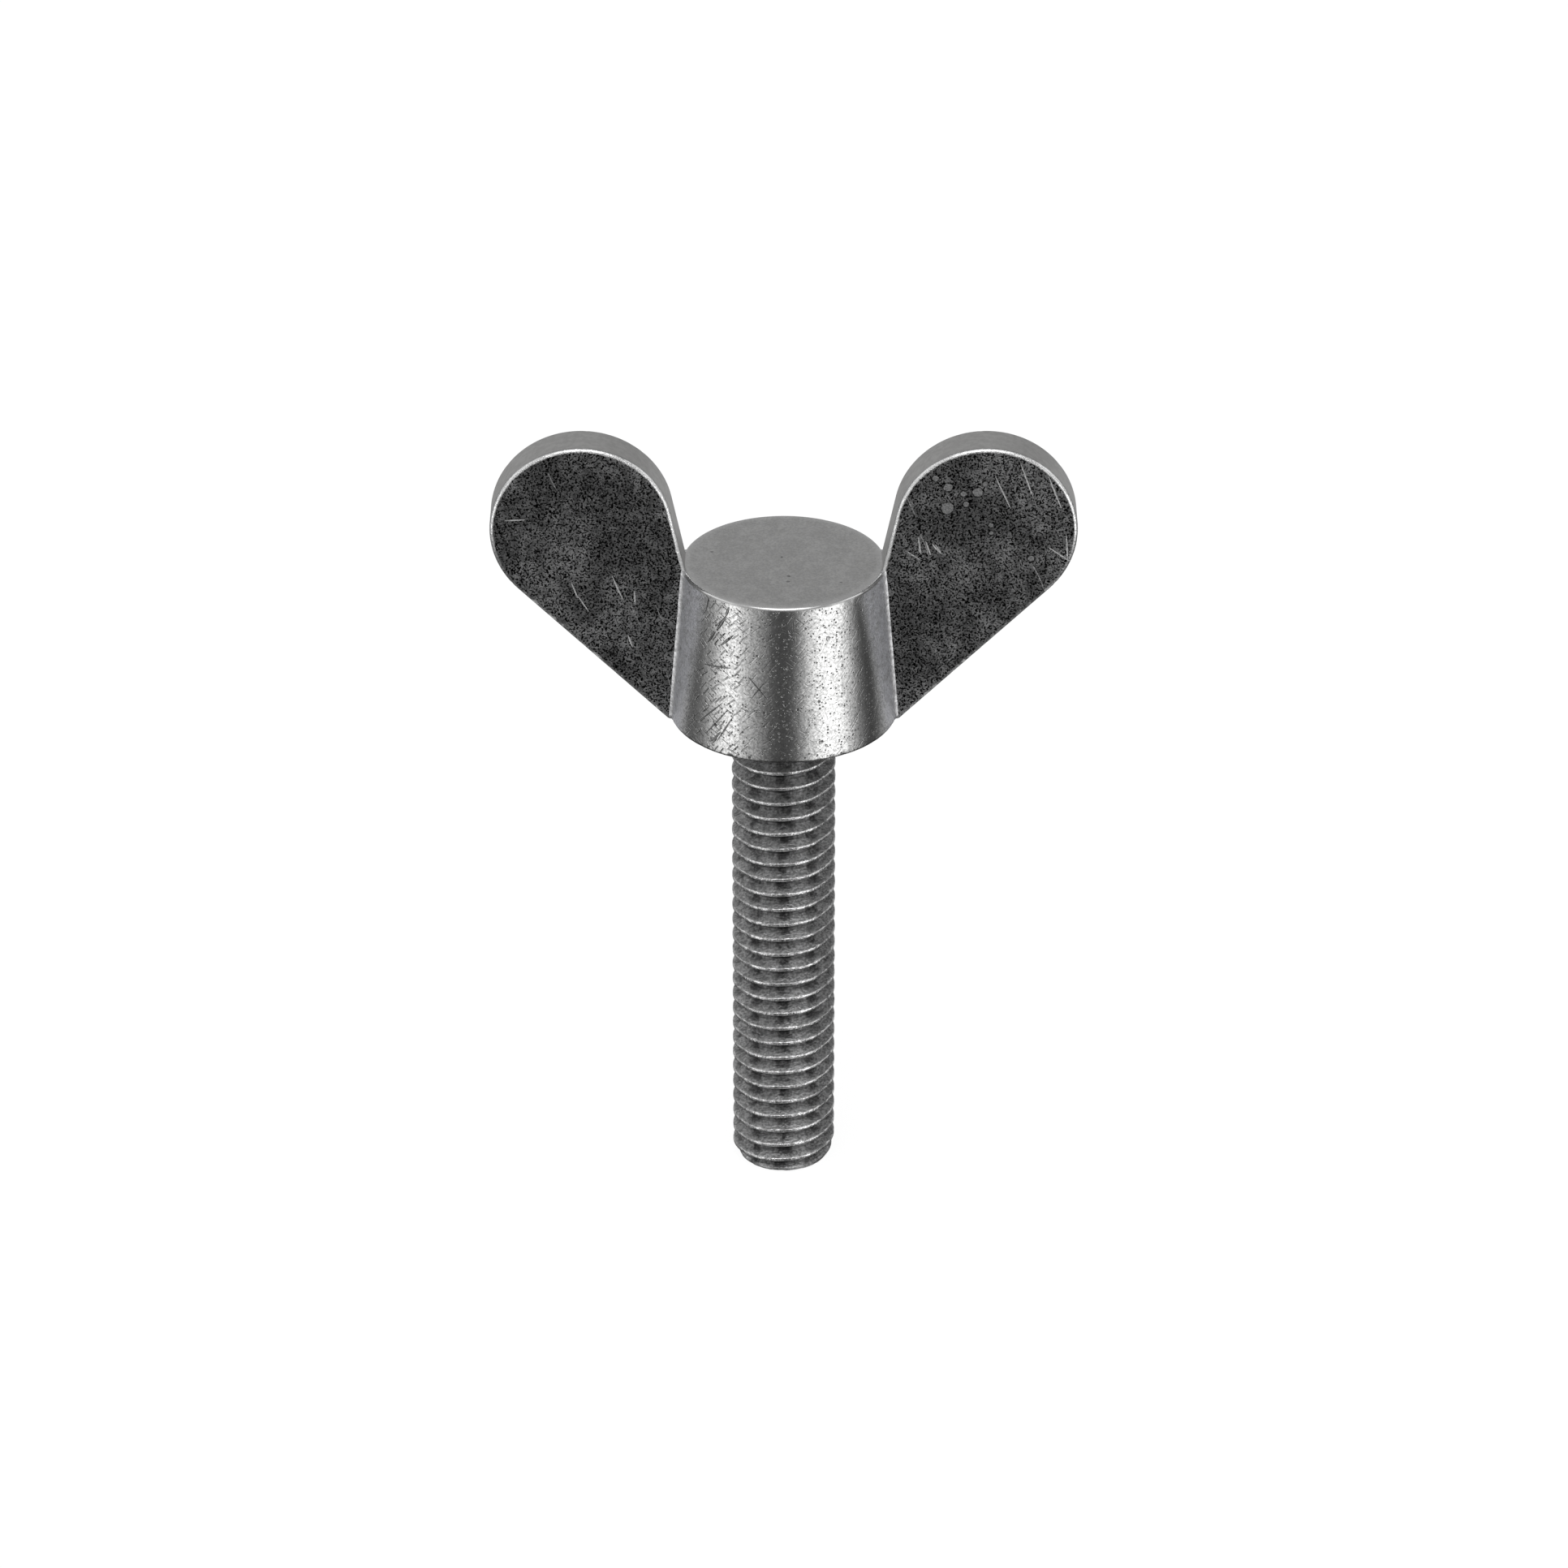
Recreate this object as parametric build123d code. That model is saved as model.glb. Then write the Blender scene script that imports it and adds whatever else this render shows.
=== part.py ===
from build123d import *
import math
import os

os.makedirs("parts", exist_ok=True)

# Frame: origin at the centre of the hub's bearing face, +Z up through the head,
# the stud hangs along -Z and the wings spread along +X and -X.

# Hub: a turned, tapered boss with a blind bore in its underside
HUB_BASE_DIAMETER = 13.0
HUB_TOP_DIAMETER = 11.5
HUB_HEIGHT = 9.45
HUB_TOP_ROUND = 0.2
HUB_BASE_ROUND = 0.12
BORE_DIAMETER = 5.05
BORE_DEPTH = 7.2
DRILL_POINT_ANGLE = 118.0
COUNTERBORE_DIAMETER = 6.7
COUNTERBORE_DEPTH = 0.5

# Wings: flat plates, a round lobe blended to the hub by two tangent edges
WING_SPAN = 33.0
HEAD_HEIGHT = 17.1
WING_LOBE_RADIUS = 5.15
WING_FOOT_REACH = 6.62
WING_THICKNESS = 2.5
WING_BEVEL = 0.2

# Tenon on each wing root and its mortise in the hub
TENON_REACH = 4.9
TENON_THICKNESS = 1.5
TENON_BOTTOM = 1.7
TENON_TOP = 7.7
JOINT_GAP = 0.03

# Brazed joints
FILLET_LEG = 0.22
RING_RECESS = 0.12
RING_MENISCUS = 0.08

# Stud: M6 x 1 right-hand thread, spigot brazed into the hub
THREAD_PITCH = 1.0
THREAD_MAJOR_DIAMETER = 5.96
THREAD_ROOT_DIAMETER = 4.84
THREAD_CREST_WIDTH = 0.125
THREAD_FLANK_ANGLE = 30.0
THREAD_START_ANGLE = 260.0
STUD_LENGTH = 29.65
COLLAR_LENGTH = 0.8
COLLAR_CHAMFER = 0.2
SPIGOT_DIAMETER = 5.0
SPIGOT_LENGTH = 6.8
SPIGOT_CHAMFER = 0.4
END_LAND_DIAMETER = 5.88
END_LAND_LENGTH = 0.15
END_FACE_DIAMETER = 5.2
END_CHAMFER = 0.35
CORE_INSET = 0.1

# Sides of the head: left is -X, the front is -Y
LEFT, RIGHT = -1, 1
FRONT, REAR = -1, 1

# Sizes that follow from the ones above
HUB_BASE_RADIUS = HUB_BASE_DIAMETER / 2
HUB_TOP_RADIUS = HUB_TOP_DIAMETER / 2
WING_HALF = WING_THICKNESS / 2
LOBE_X = WING_SPAN / 2 - WING_LOBE_RADIUS
LOBE_Z = HEAD_HEIGHT - WING_LOBE_RADIUS
MAJOR_RADIUS = THREAD_MAJOR_DIAMETER / 2
ROOT_RADIUS = THREAD_ROOT_DIAMETER / 2
NECK_RADIUS = MAJOR_RADIUS - COLLAR_CHAMFER
END_LAND_RADIUS = END_LAND_DIAMETER / 2


def turned(points):
    """Solid of revolution about Z from (radius, height) points."""
    profile = make_face(Polyline(*[(r, 0, z) for r, z in points], close=True))
    return revolve(profile, axis=Axis.Z)


def hub_blank(top_round, base_round):
    """The outside of the hub: a cone frustum with its two rims rounded."""
    blank = turned(
        [(0, 0), (HUB_BASE_RADIUS, 0), (HUB_TOP_RADIUS, HUB_HEIGHT), (0, HUB_HEIGHT)]
    )
    rims = blank.edges().filter_by(GeomType.CIRCLE).sort_by(Axis.Z)
    if top_round:
        blank = fillet(rims[-1], top_round)
        rims = blank.edges().filter_by(GeomType.CIRCLE).sort_by(Axis.Z)
    if base_round:
        blank = fillet(rims[0], base_round)
    return blank


def tenon(side, gap):
    """The locating tenon of one wing, or with a gap the mortise it enters."""
    inner = TENON_REACH - gap
    outer = HUB_BASE_RADIUS + 1
    return Pos(side * (inner + outer) / 2, 0, (TENON_TOP + TENON_BOTTOM) / 2) * Box(
        outer - inner,
        TENON_THICKNESS + 2 * gap,
        TENON_TOP - TENON_BOTTOM + 2 * gap,
    )


def make_hub():
    """Tapered hub with the stud's bore, its counterbore and the two mortises."""
    bore_radius = BORE_DIAMETER / 2
    point_height = bore_radius / math.tan(math.radians(DRILL_POINT_ANGLE / 2))
    bore = turned(
        [
            (0, -1),
            (COUNTERBORE_DIAMETER / 2, -1),
            (COUNTERBORE_DIAMETER / 2, COUNTERBORE_DEPTH),
            (bore_radius, COUNTERBORE_DEPTH),
            (bore_radius, BORE_DEPTH),
            (0, BORE_DEPTH + point_height),
        ]
    )
    hub = hub_blank(HUB_TOP_ROUND, HUB_BASE_ROUND) - bore
    for side in (1, -1):
        hub -= tenon(side, JOINT_GAP)
    return hub


def tangent_point(x, z, upper):
    """Where a line from (x, z) touches the lobe's circle, on its upper or lower side."""
    dx = LOBE_X - x
    dz = LOBE_Z - z
    distance = math.hypot(dx, dz)
    swing = math.asin(WING_LOBE_RADIUS / distance)
    heading = math.atan2(dz, dx) + (swing if upper else -swing)
    reach = math.sqrt(distance**2 - WING_LOBE_RADIUS**2)
    return x + reach * math.cos(heading), z + reach * math.sin(heading)


def wing_outline(side, inner):
    """Face of one wing in the XZ plane, carried inwards to the radius `inner`."""
    foot = (WING_FOOT_REACH, 0)
    neck = (HUB_TOP_RADIUS - HUB_TOP_ROUND, HUB_HEIGHT)
    low = tangent_point(*foot, upper=False)
    high = tangent_point(*neck, upper=True)
    crown = (LOBE_X, HEAD_HEIGHT)
    outer = (LOBE_X + WING_LOBE_RADIUS, LOBE_Z)

    def at(point):
        return (side * point[0], 0, point[1])

    edges = [
        Line(at(foot), at(low)),
        ThreePointArc(at(low), at(outer), at(crown)),
        ThreePointArc(at(crown), at(lobe_point(high)), at(high)),
        Line(at(high), at(neck)),
        Line(at(neck), at((inner, HUB_HEIGHT))),
        Line(at((inner, HUB_HEIGHT)), at((inner, 0))),
        Line(at((inner, 0)), at(foot)),
    ]
    return make_face(edges)


def lobe_point(end):
    """A point on the lobe half way round between its crown and `end`."""
    start_angle = math.pi / 2
    end_angle = math.atan2(end[1] - LOBE_Z, end[0] - LOBE_X)
    middle = (start_angle + end_angle) / 2
    return (
        LOBE_X + WING_LOBE_RADIUS * math.cos(middle),
        LOBE_Z + WING_LOBE_RADIUS * math.sin(middle),
    )


def is_outer_edge(edge):
    """True for the face edges that stand clear of the hub."""
    middle = edge @ 0.5
    on_face = abs(abs(middle.Y) - WING_HALF) < 0.001
    free = abs(middle.X) > HUB_TOP_RADIUS and middle.Z > 0.001
    return on_face and free


def make_wing(side):
    """Bevelled wing plate, its root coped to the hub's cone and keyed by a tenon."""
    plate = extrude(wing_outline(side, TENON_REACH), WING_HALF, (0, 1, 0), both=True)
    plate = chamfer(plate.edges().filter_by(is_outer_edge), WING_BEVEL)
    wing = plate - hub_blank(HUB_TOP_ROUND, HUB_BASE_ROUND)
    return wing + (tenon(side, 0) & hub_blank(0, 0))


def fillet_section(side, front, height):
    """Cross-section at one height of the bead between a wing face and the hub's cone."""
    taper = (HUB_BASE_RADIUS - HUB_TOP_RADIUS) / HUB_HEIGHT
    hub_radius = HUB_BASE_RADIUS - taper * height
    corner_x = math.sqrt(hub_radius**2 - WING_HALF**2)
    toe_y = WING_HALF + FILLET_LEG
    toe_x = math.sqrt(hub_radius**2 - toe_y**2)
    heel_x = toe_x - 2 * HUB_TOP_ROUND
    points = [
        (corner_x + FILLET_LEG, WING_HALF),
        (toe_x, toe_y),
        (heel_x, toe_y),
        (heel_x, WING_HALF),
    ]
    corners = [(side * x, front * y, height) for x, y in points]
    return make_face(Polyline(*corners, close=True))


def make_fillet(side, front):
    """Braze fillet along one wing root, flush with the hub's top and the wing's edge."""
    sections = [fillet_section(side, front, height) for height in (0, HUB_HEIGHT)]
    bead = loft(sections, ruled=True)
    under_wing = extrude(wing_outline(side, 0), WING_THICKNESS, (0, 1, 0), both=True)
    return (bead & under_wing) - hub_blank(HUB_TOP_ROUND, HUB_BASE_ROUND)


def make_ring():
    """Braze ring filling the counterbore around the stud, its free face slightly hollow."""
    inner = NECK_RADIUS
    outer = COUNTERBORE_DIAMETER / 2
    low = RING_RECESS
    profile = make_face(
        [
            ThreePointArc(
                (inner, 0, low),
                ((inner + outer) / 2, 0, low + RING_MENISCUS),
                (outer, 0, low),
            ),
            Line((outer, 0, low), (outer, 0, COUNTERBORE_DEPTH)),
            Line((outer, 0, COUNTERBORE_DEPTH), (inner, 0, COUNTERBORE_DEPTH)),
            Line((inner, 0, COUNTERBORE_DEPTH), (inner, 0, low)),
        ]
    )
    return revolve(profile, axis=Axis.Z)


def thread_turn_faces(bottom, rails):
    """Ruled faces of one turn of thread between its neighbouring helical rails."""
    helices = [
        Helix(THREAD_PITCH, THREAD_PITCH, radius, center=(0, 0, bottom + rise))
        for radius, rise in rails
    ]
    return [
        Face.make_surface_from_curves(lower, upper)
        for lower, upper in zip(helices[:-1], helices[1:])
    ]


def thread_end_faces(bottom, outline):
    """The helical floor and the straight step that close one end of the thread bar."""
    radius = outline[0][0]
    axis_line = Line((0, 0, bottom), (0, 0, bottom + THREAD_PITCH)).edge()
    rim = Helix(THREAD_PITCH, THREAD_PITCH, radius, center=(0, 0, bottom)).edge()
    floor = Face.make_surface_from_curves(axis_line, rim)
    corners = [(0, 0, bottom)]
    corners += [(r, 0, bottom + rise) for r, rise in outline]
    corners += [(0, 0, bottom + THREAD_PITCH)]
    step = make_face(Polyline(*corners, close=True)).face()
    return [floor, step]


def thread_bar(low, high):
    """Right-hand threaded bar reaching past both given heights, with ragged ends."""
    depth = MAJOR_RADIUS - ROOT_RADIUS
    flank = depth * math.tan(math.radians(THREAD_FLANK_ANGLE))
    land = THREAD_PITCH - THREAD_CREST_WIDTH - 2 * flank
    rails = [
        (ROOT_RADIUS, 0),
        (ROOT_RADIUS, land),
        (MAJOR_RADIUS, land + flank),
        (MAJOR_RADIUS, land + flank + THREAD_CREST_WIDTH),
        (ROOT_RADIUS, THREAD_PITCH),
    ]
    turns = math.ceil((high - low) / THREAD_PITCH)
    faces = []
    for turn in range(turns):
        faces += thread_turn_faces(low + turn * THREAD_PITCH, rails)
    faces += thread_end_faces(low, rails)
    faces += thread_end_faces(low + turns * THREAD_PITCH, rails)
    return Solid(Shell(faces))


def make_stud():
    """Threaded stud: spigot, seating collar, thread and a chamfered end with a land."""
    land_bottom = -STUD_LENGTH + END_CHAMFER
    land_top = land_bottom + END_LAND_LENGTH
    thread_top = -COLLAR_LENGTH / 2
    bar = thread_bar(land_top - 2 * THREAD_PITCH, thread_top + 2 * THREAD_PITCH)
    sleeve = Cylinder(MAJOR_RADIUS + 1, thread_top - land_top)
    sleeve = Pos(0, 0, (thread_top + land_top) / 2) * sleeve
    thread = (Rot(0, 0, THREAD_START_ANGLE) * bar) & sleeve
    core_radius = ROOT_RADIUS - CORE_INSET
    spigot_radius = SPIGOT_DIAMETER / 2
    core = turned(
        [
            (0, -STUD_LENGTH),
            (END_FACE_DIAMETER / 2, -STUD_LENGTH),
            (END_LAND_RADIUS, land_bottom),
            (END_LAND_RADIUS, land_top),
            (core_radius, land_top + END_LAND_RADIUS - core_radius),
            (core_radius, -COLLAR_LENGTH - MAJOR_RADIUS + core_radius),
            (MAJOR_RADIUS, -COLLAR_LENGTH),
            (MAJOR_RADIUS, -COLLAR_CHAMFER / 2),
            (NECK_RADIUS, COLLAR_CHAMFER / 2),
            (NECK_RADIUS, COUNTERBORE_DEPTH),
            (spigot_radius, COUNTERBORE_DEPTH),
            (spigot_radius, SPIGOT_LENGTH - SPIGOT_CHAMFER),
            (spigot_radius - SPIGOT_CHAMFER, SPIGOT_LENGTH),
            (0, SPIGOT_LENGTH),
        ]
    )
    return thread + core


def main():
    """Build every piece and write one STEP file for each."""
    pieces = {
        "hub": make_hub(),
        "wing_left": make_wing(LEFT),
        "wing_right": make_wing(RIGHT),
        "braze_fillet_front_left": make_fillet(LEFT, FRONT),
        "braze_fillet_front_right": make_fillet(RIGHT, FRONT),
        "braze_fillet_rear_left": make_fillet(LEFT, REAR),
        "braze_fillet_rear_right": make_fillet(RIGHT, REAR),
        "braze_ring": make_ring(),
        "threaded_stud": make_stud(),
    }
    for name, piece in pieces.items():
        export_step(piece, os.path.join("parts", name + ".step"))


if __name__ == "__main__":
    main()
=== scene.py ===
import math

import bmesh
import bpy
from bpy.props import FloatProperty, FloatVectorProperty, IntProperty, PointerProperty
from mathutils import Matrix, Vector, noise


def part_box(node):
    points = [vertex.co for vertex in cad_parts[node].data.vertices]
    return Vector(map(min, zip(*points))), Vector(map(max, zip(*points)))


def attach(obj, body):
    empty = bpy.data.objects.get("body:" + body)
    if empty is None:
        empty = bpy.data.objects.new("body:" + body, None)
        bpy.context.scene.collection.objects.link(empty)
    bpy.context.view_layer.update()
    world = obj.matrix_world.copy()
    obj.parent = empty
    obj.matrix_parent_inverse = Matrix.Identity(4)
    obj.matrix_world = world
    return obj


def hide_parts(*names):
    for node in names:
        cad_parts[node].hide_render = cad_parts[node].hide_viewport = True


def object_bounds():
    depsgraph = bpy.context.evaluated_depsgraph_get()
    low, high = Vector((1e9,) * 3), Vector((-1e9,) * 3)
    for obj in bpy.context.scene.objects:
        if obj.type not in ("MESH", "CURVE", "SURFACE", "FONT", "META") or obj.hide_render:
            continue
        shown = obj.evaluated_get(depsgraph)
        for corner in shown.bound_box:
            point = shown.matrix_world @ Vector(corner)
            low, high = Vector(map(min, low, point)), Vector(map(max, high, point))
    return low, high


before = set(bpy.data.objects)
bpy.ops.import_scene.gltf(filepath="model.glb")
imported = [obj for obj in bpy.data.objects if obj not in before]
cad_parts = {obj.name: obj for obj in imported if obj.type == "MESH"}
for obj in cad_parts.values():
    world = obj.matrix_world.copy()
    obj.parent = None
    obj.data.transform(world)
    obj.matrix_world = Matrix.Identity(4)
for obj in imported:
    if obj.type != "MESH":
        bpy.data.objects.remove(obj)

bl_info = {
    "name": "Wing Screw",
    "version": (1, 0, 0),
    "blender": (4, 5, 0),
    "location": "View3D > Sidebar > Wing Screw",
    "description": "Builds a brazed steel wing screw around its CAD frame",
    "category": "Add Mesh",
}

MM = 0.001
CAD_LOW, CAD_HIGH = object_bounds()
HUB_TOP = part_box("hub")[1].z
STUD_END = -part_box("threaded_stud")[0].z - 0.001 * MM
SPIGOT_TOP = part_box("threaded_stud")[1].z
HUB_SEGMENTS, RING_SEGMENTS, SPIGOT_SEGMENTS = 288, 160, 96
LEFT, RIGHT = -1, 1
FRONT, REAR = -1, 1
SIDE_NAMES = {LEFT: "left", RIGHT: "right"}
FACE_NAMES = {FRONT: "front", REAR: "rear"}


# ---------------------------------------------------------------- settings


def length(name, description, default, low=0.0):
    """A size in metres, shown in the scene's length unit."""
    return FloatProperty(
        name=name,
        description=description,
        default=default,
        min=low,
        precision=5,
        unit="LENGTH",
        subtype="DISTANCE",
    )


def colour(name, description, default):
    """A linear RGB colour."""
    return FloatVectorProperty(
        name=name,
        description=description,
        default=default,
        min=0.0,
        max=1.0,
        size=3,
        subtype="COLOR",
    )


class WingScrewHub(bpy.types.PropertyGroup):
    """Sizes of the turned hub."""

    base_radius: length("Base radius", "Radius of the hub at its bearing face", 6.5 * MM)
    top_radius: length("Top radius", "Radius of the cone at its top face, without the round", 5.75 * MM)
    height: length("Height", "Height of the hub above its bearing face", HUB_TOP)
    top_round: length("Top rim round", "Radius of the rounded top rim", 0.2 * MM)
    base_round: length("Base rim round", "Radius of the rounded base rim", 0.08 * MM)
    bore_radius: length("Bore radius", "Radius of the blind bore for the stud's spigot", 2.525 * MM)
    bore_depth: length("Bore depth", "Depth of the bore's straight wall", 7.2 * MM)
    counterbore_radius: length("Counterbore radius", "Radius of the recess for the braze ring", 3.35 * MM)
    counterbore_depth: length("Counterbore depth", "Depth of the recess for the braze ring", 0.5 * MM)


class WingScrewWings(bpy.types.PropertyGroup):
    """Sizes of the two wing plates and of their braze beads."""

    span: length("Span", "Distance across both wings", CAD_HIGH.x - CAD_LOW.x)
    top: length("Height", "Height of the wings above the bearing face", CAD_HIGH.z)
    lobe_radius: length("Lobe radius", "Radius of the round end of a wing", 5.15 * MM)
    foot_reach: length("Foot reach", "Distance from the axis to the lowest corner of a wing", 6.62 * MM)
    thickness: length("Thickness", "Thickness of a wing plate", 2.5 * MM)
    edge_round: length("Edge round", "Radius of the worn round along a wing's free edge", 0.22 * MM)
    bead: length("Bead leg", "Leg of the braze bead between a wing and the hub", 0.17 * MM)


class WingScrewStud(bpy.types.PropertyGroup):
    """Sizes of the threaded stud."""

    major_radius: length("Crest radius", "Radius over the thread's crests", 2.98 * MM)
    root_radius: length("Root radius", "Radius at the bottom of the thread's groove", 2.42 * MM)
    pitch: length("Pitch", "Axial distance from one crest to the next", 1.0 * MM)
    reach: length("Length", "Length of the stud below the bearing face", STUD_END)
    collar: length("Collar", "Length of the plain collar under the hub", 0.8 * MM)
    tip_radius: length("Tip radius", "Radius of the stud's end face", 2.6 * MM)
    tip_taper: length("Tip taper", "Axial length of the chamfer at the stud's end", 0.6 * MM)
    spigot_radius: length("Spigot radius", "Radius of the plain spigot inside the hub", 2.5 * MM)
    spigot_top: length("Spigot top", "Height of the spigot's end above the bearing face", SPIGOT_TOP)
    steps: IntProperty(
        name="Steps per turn",
        description="Mesh steps round one turn of thread",
        default=112,
        min=24,
    )


class WingScrewFinish(bpy.types.PropertyGroup):
    """Colours of the metals."""

    hub: colour("Hub steel", "Polished steel of the hub", (0.64, 0.64, 0.635))
    frost: colour("Frosted steel", "Hub steel left matt by the brazing heat", (0.5, 0.505, 0.54))
    # Wing faces: dark partly from a darkened finish and partly from painted shade standing in for the dark
    # reflection the faces show
    face: colour("Wing faces", "Darkened steel of the wings' flat faces", (0.176, 0.176, 0.177))
    edge: colour("Wing edges", "Bare steel of the wings' edges", (0.60, 0.597, 0.59))
    braze: colour("Braze", "Silver braze alloy", (0.86, 0.86, 0.87))
    stud: colour("Stud steel", "Rolled steel of the stud", (0.46, 0.46, 0.462))
    floor: colour("Floor", "Pale studio floor", (0.93, 0.93, 0.93))


class WingScrewStage(bpy.types.PropertyGroup):
    """Where the camera stands."""

    distance: length("Camera distance", "Distance from the camera to the point it looks at", 382.3 * MM)
    elevation: FloatProperty(
        name="Camera elevation",
        description="Angle of the camera above the horizon",
        default=math.radians(29.33),
        subtype="ANGLE",
        unit="ROTATION",
    )
    look_down: length("Aim depth", "How far below the bearing face the camera looks", 4.97 * MM)
    lens: FloatProperty(
        name="Lens",
        description="Focal length on a 36 mm sensor",
        default=152.74,
        min=20.0,
        unit="CAMERA",
    )


# ---------------------------------------------------------------- node trees


class Web:
    """Adds nodes to a node tree, feeding each input with a value or another socket."""

    def __init__(self, tree):
        self.tree = tree

    def add(self, kind, inputs=(), **settings):
        node = self.tree.nodes.new(kind)
        for key, value in settings.items():
            setattr(node, key, value)
        for key, value in dict(inputs).items():
            self.feed(node.inputs[key], value)
        return node

    def feed(self, socket, value):
        if isinstance(value, bpy.types.NodeSocket):
            self.tree.links.new(value, socket)
        elif socket.type == "RGBA" and len(value) == 3:
            socket.default_value = (*value, 1.0)
        else:
            socket.default_value = value

    def maths(self, operation, *values, clamp=False):
        node = self.add("ShaderNodeMath", operation=operation, use_clamp=clamp)
        for socket, value in zip(node.inputs, values):
            self.feed(socket, value)
        return node.outputs[0]

    def vector(self, operation, *values, scale=None):
        node = self.add("ShaderNodeVectorMath", operation=operation)
        for socket, value in zip(node.inputs, values):
            self.feed(socket, value)
        if scale is not None:
            self.feed(node.inputs["Scale"], scale)
        return node.outputs["Vector"]

    def split(self, vector):
        node = self.add("ShaderNodeSeparateXYZ", {"Vector": vector})
        return node.outputs["X"], node.outputs["Y"], node.outputs["Z"]

    def join(self, x, y, z):
        return self.add("ShaderNodeCombineXYZ", {"X": x, "Y": y, "Z": z}).outputs["Vector"]

    def ramp(self, value, low, high, to_low=0.0, to_high=1.0):
        """Smoothly carries value from the range low..high to to_low..to_high."""
        node = self.add(
            "ShaderNodeMapRange",
            {"Value": value, "From Min": low, "From Max": high, "To Min": to_low, "To Max": to_high},
            interpolation_type="SMOOTHSTEP",
        )
        return node.outputs["Result"]

    def blend(self, factor, a, b):
        """Mixes two colours."""
        node = self.add("ShaderNodeMix", data_type="RGBA", blend_type="MIX", clamp_factor=True)
        self.feed(node.inputs[0], factor)
        self.feed(node.inputs[6], a)
        self.feed(node.inputs[7], b)
        return node.outputs[2]

    def between(self, factor, a, b):
        """Mixes two numbers."""
        node = self.add("ShaderNodeMix", data_type="FLOAT", clamp_factor=True)
        self.feed(node.inputs[0], factor)
        self.feed(node.inputs[2], a)
        self.feed(node.inputs[3], b)
        return node.outputs[0]

    def grain(self, vector, scale, detail=2.0, roughness=0.5, distortion=0.0):
        inputs = {"Vector": vector, "Scale": scale, "Detail": detail}
        inputs.update({"Roughness": roughness, "Distortion": distortion})
        return self.add("ShaderNodeTexNoise", inputs).outputs["Fac"]

    def bump(self, height, distance):
        inputs = {"Height": height, "Distance": distance, "Strength": 1.0}
        return self.add("ShaderNodeBump", inputs).outputs["Normal"]


def new_group(name, sockets, kind="ShaderNodeTree"):
    """A node group with the given (name, in or out, socket type, default) sockets."""
    group = bpy.data.node_groups.new(name, kind)
    for label, way, socket_type, default in sockets:
        socket = group.interface.new_socket(label, in_out=way, socket_type=socket_type)
        if default is not None:
            socket.default_value = default
    web = Web(group)
    entry = web.add("NodeGroupInput")
    leave = web.add("NodeGroupOutput")
    return group, web, entry.outputs, leave.inputs


def speckle_group():
    """Fine two-scale mottling of worn metal: a mask and a height."""
    group, web, given, out = new_group(
        "Metal speckle",
        [
            ("Vector", "INPUT", "NodeSocketVector", None),
            ("Scale", "INPUT", "NodeSocketFloat", 4.0),
            ("Contrast", "INPUT", "NodeSocketFloat", 0.2),
            ("Fine", "OUTPUT", "NodeSocketFloat", None),
            ("Patches", "OUTPUT", "NodeSocketFloat", None),
        ],
    )
    fine = web.grain(given["Vector"], given["Scale"], detail=2.5, roughness=0.65)
    low = web.maths("SUBTRACT", 0.5, given["Contrast"])
    high = web.maths("ADD", 0.5, given["Contrast"])
    web.feed(out["Fine"], web.ramp(fine, low, high))
    patch_scale = web.maths("MULTIPLY", given["Scale"], 0.14)
    patches = web.grain(given["Vector"], patch_scale, detail=3.0, roughness=0.6, distortion=0.4)
    web.feed(out["Patches"], web.ramp(patches, 0.38, 0.64))
    return group


def pit_group():
    """Scattered round pits: one where the metal is pitted."""
    group, web, given, out = new_group(
        "Metal pits",
        [
            ("Vector", "INPUT", "NodeSocketVector", None),
            ("Scale", "INPUT", "NodeSocketFloat", 3.0),
            ("Size", "INPUT", "NodeSocketFloat", 0.3),
            ("Amount", "INPUT", "NodeSocketFloat", 0.4),
            ("Mask", "OUTPUT", "NodeSocketFloat", None),
        ],
    )
    cells = web.add(
        "ShaderNodeTexVoronoi",
        {"Vector": given["Vector"], "Scale": given["Scale"], "Randomness": 1.0},
        feature="F1",
    )
    pick, size_pick, _ = web.split(cells.outputs["Color"])
    size = web.maths("MULTIPLY", given["Size"], web.ramp(size_pick, 0.0, 1.0, 0.45, 1.1))
    near = web.ramp(cells.outputs["Distance"], web.maths("MULTIPLY", size, 0.55), size, 1.0, 0.0)
    chosen = web.maths("LESS_THAN", pick, given["Amount"])
    web.feed(out["Mask"], web.maths("MULTIPLY", near, chosen))
    return group


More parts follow.
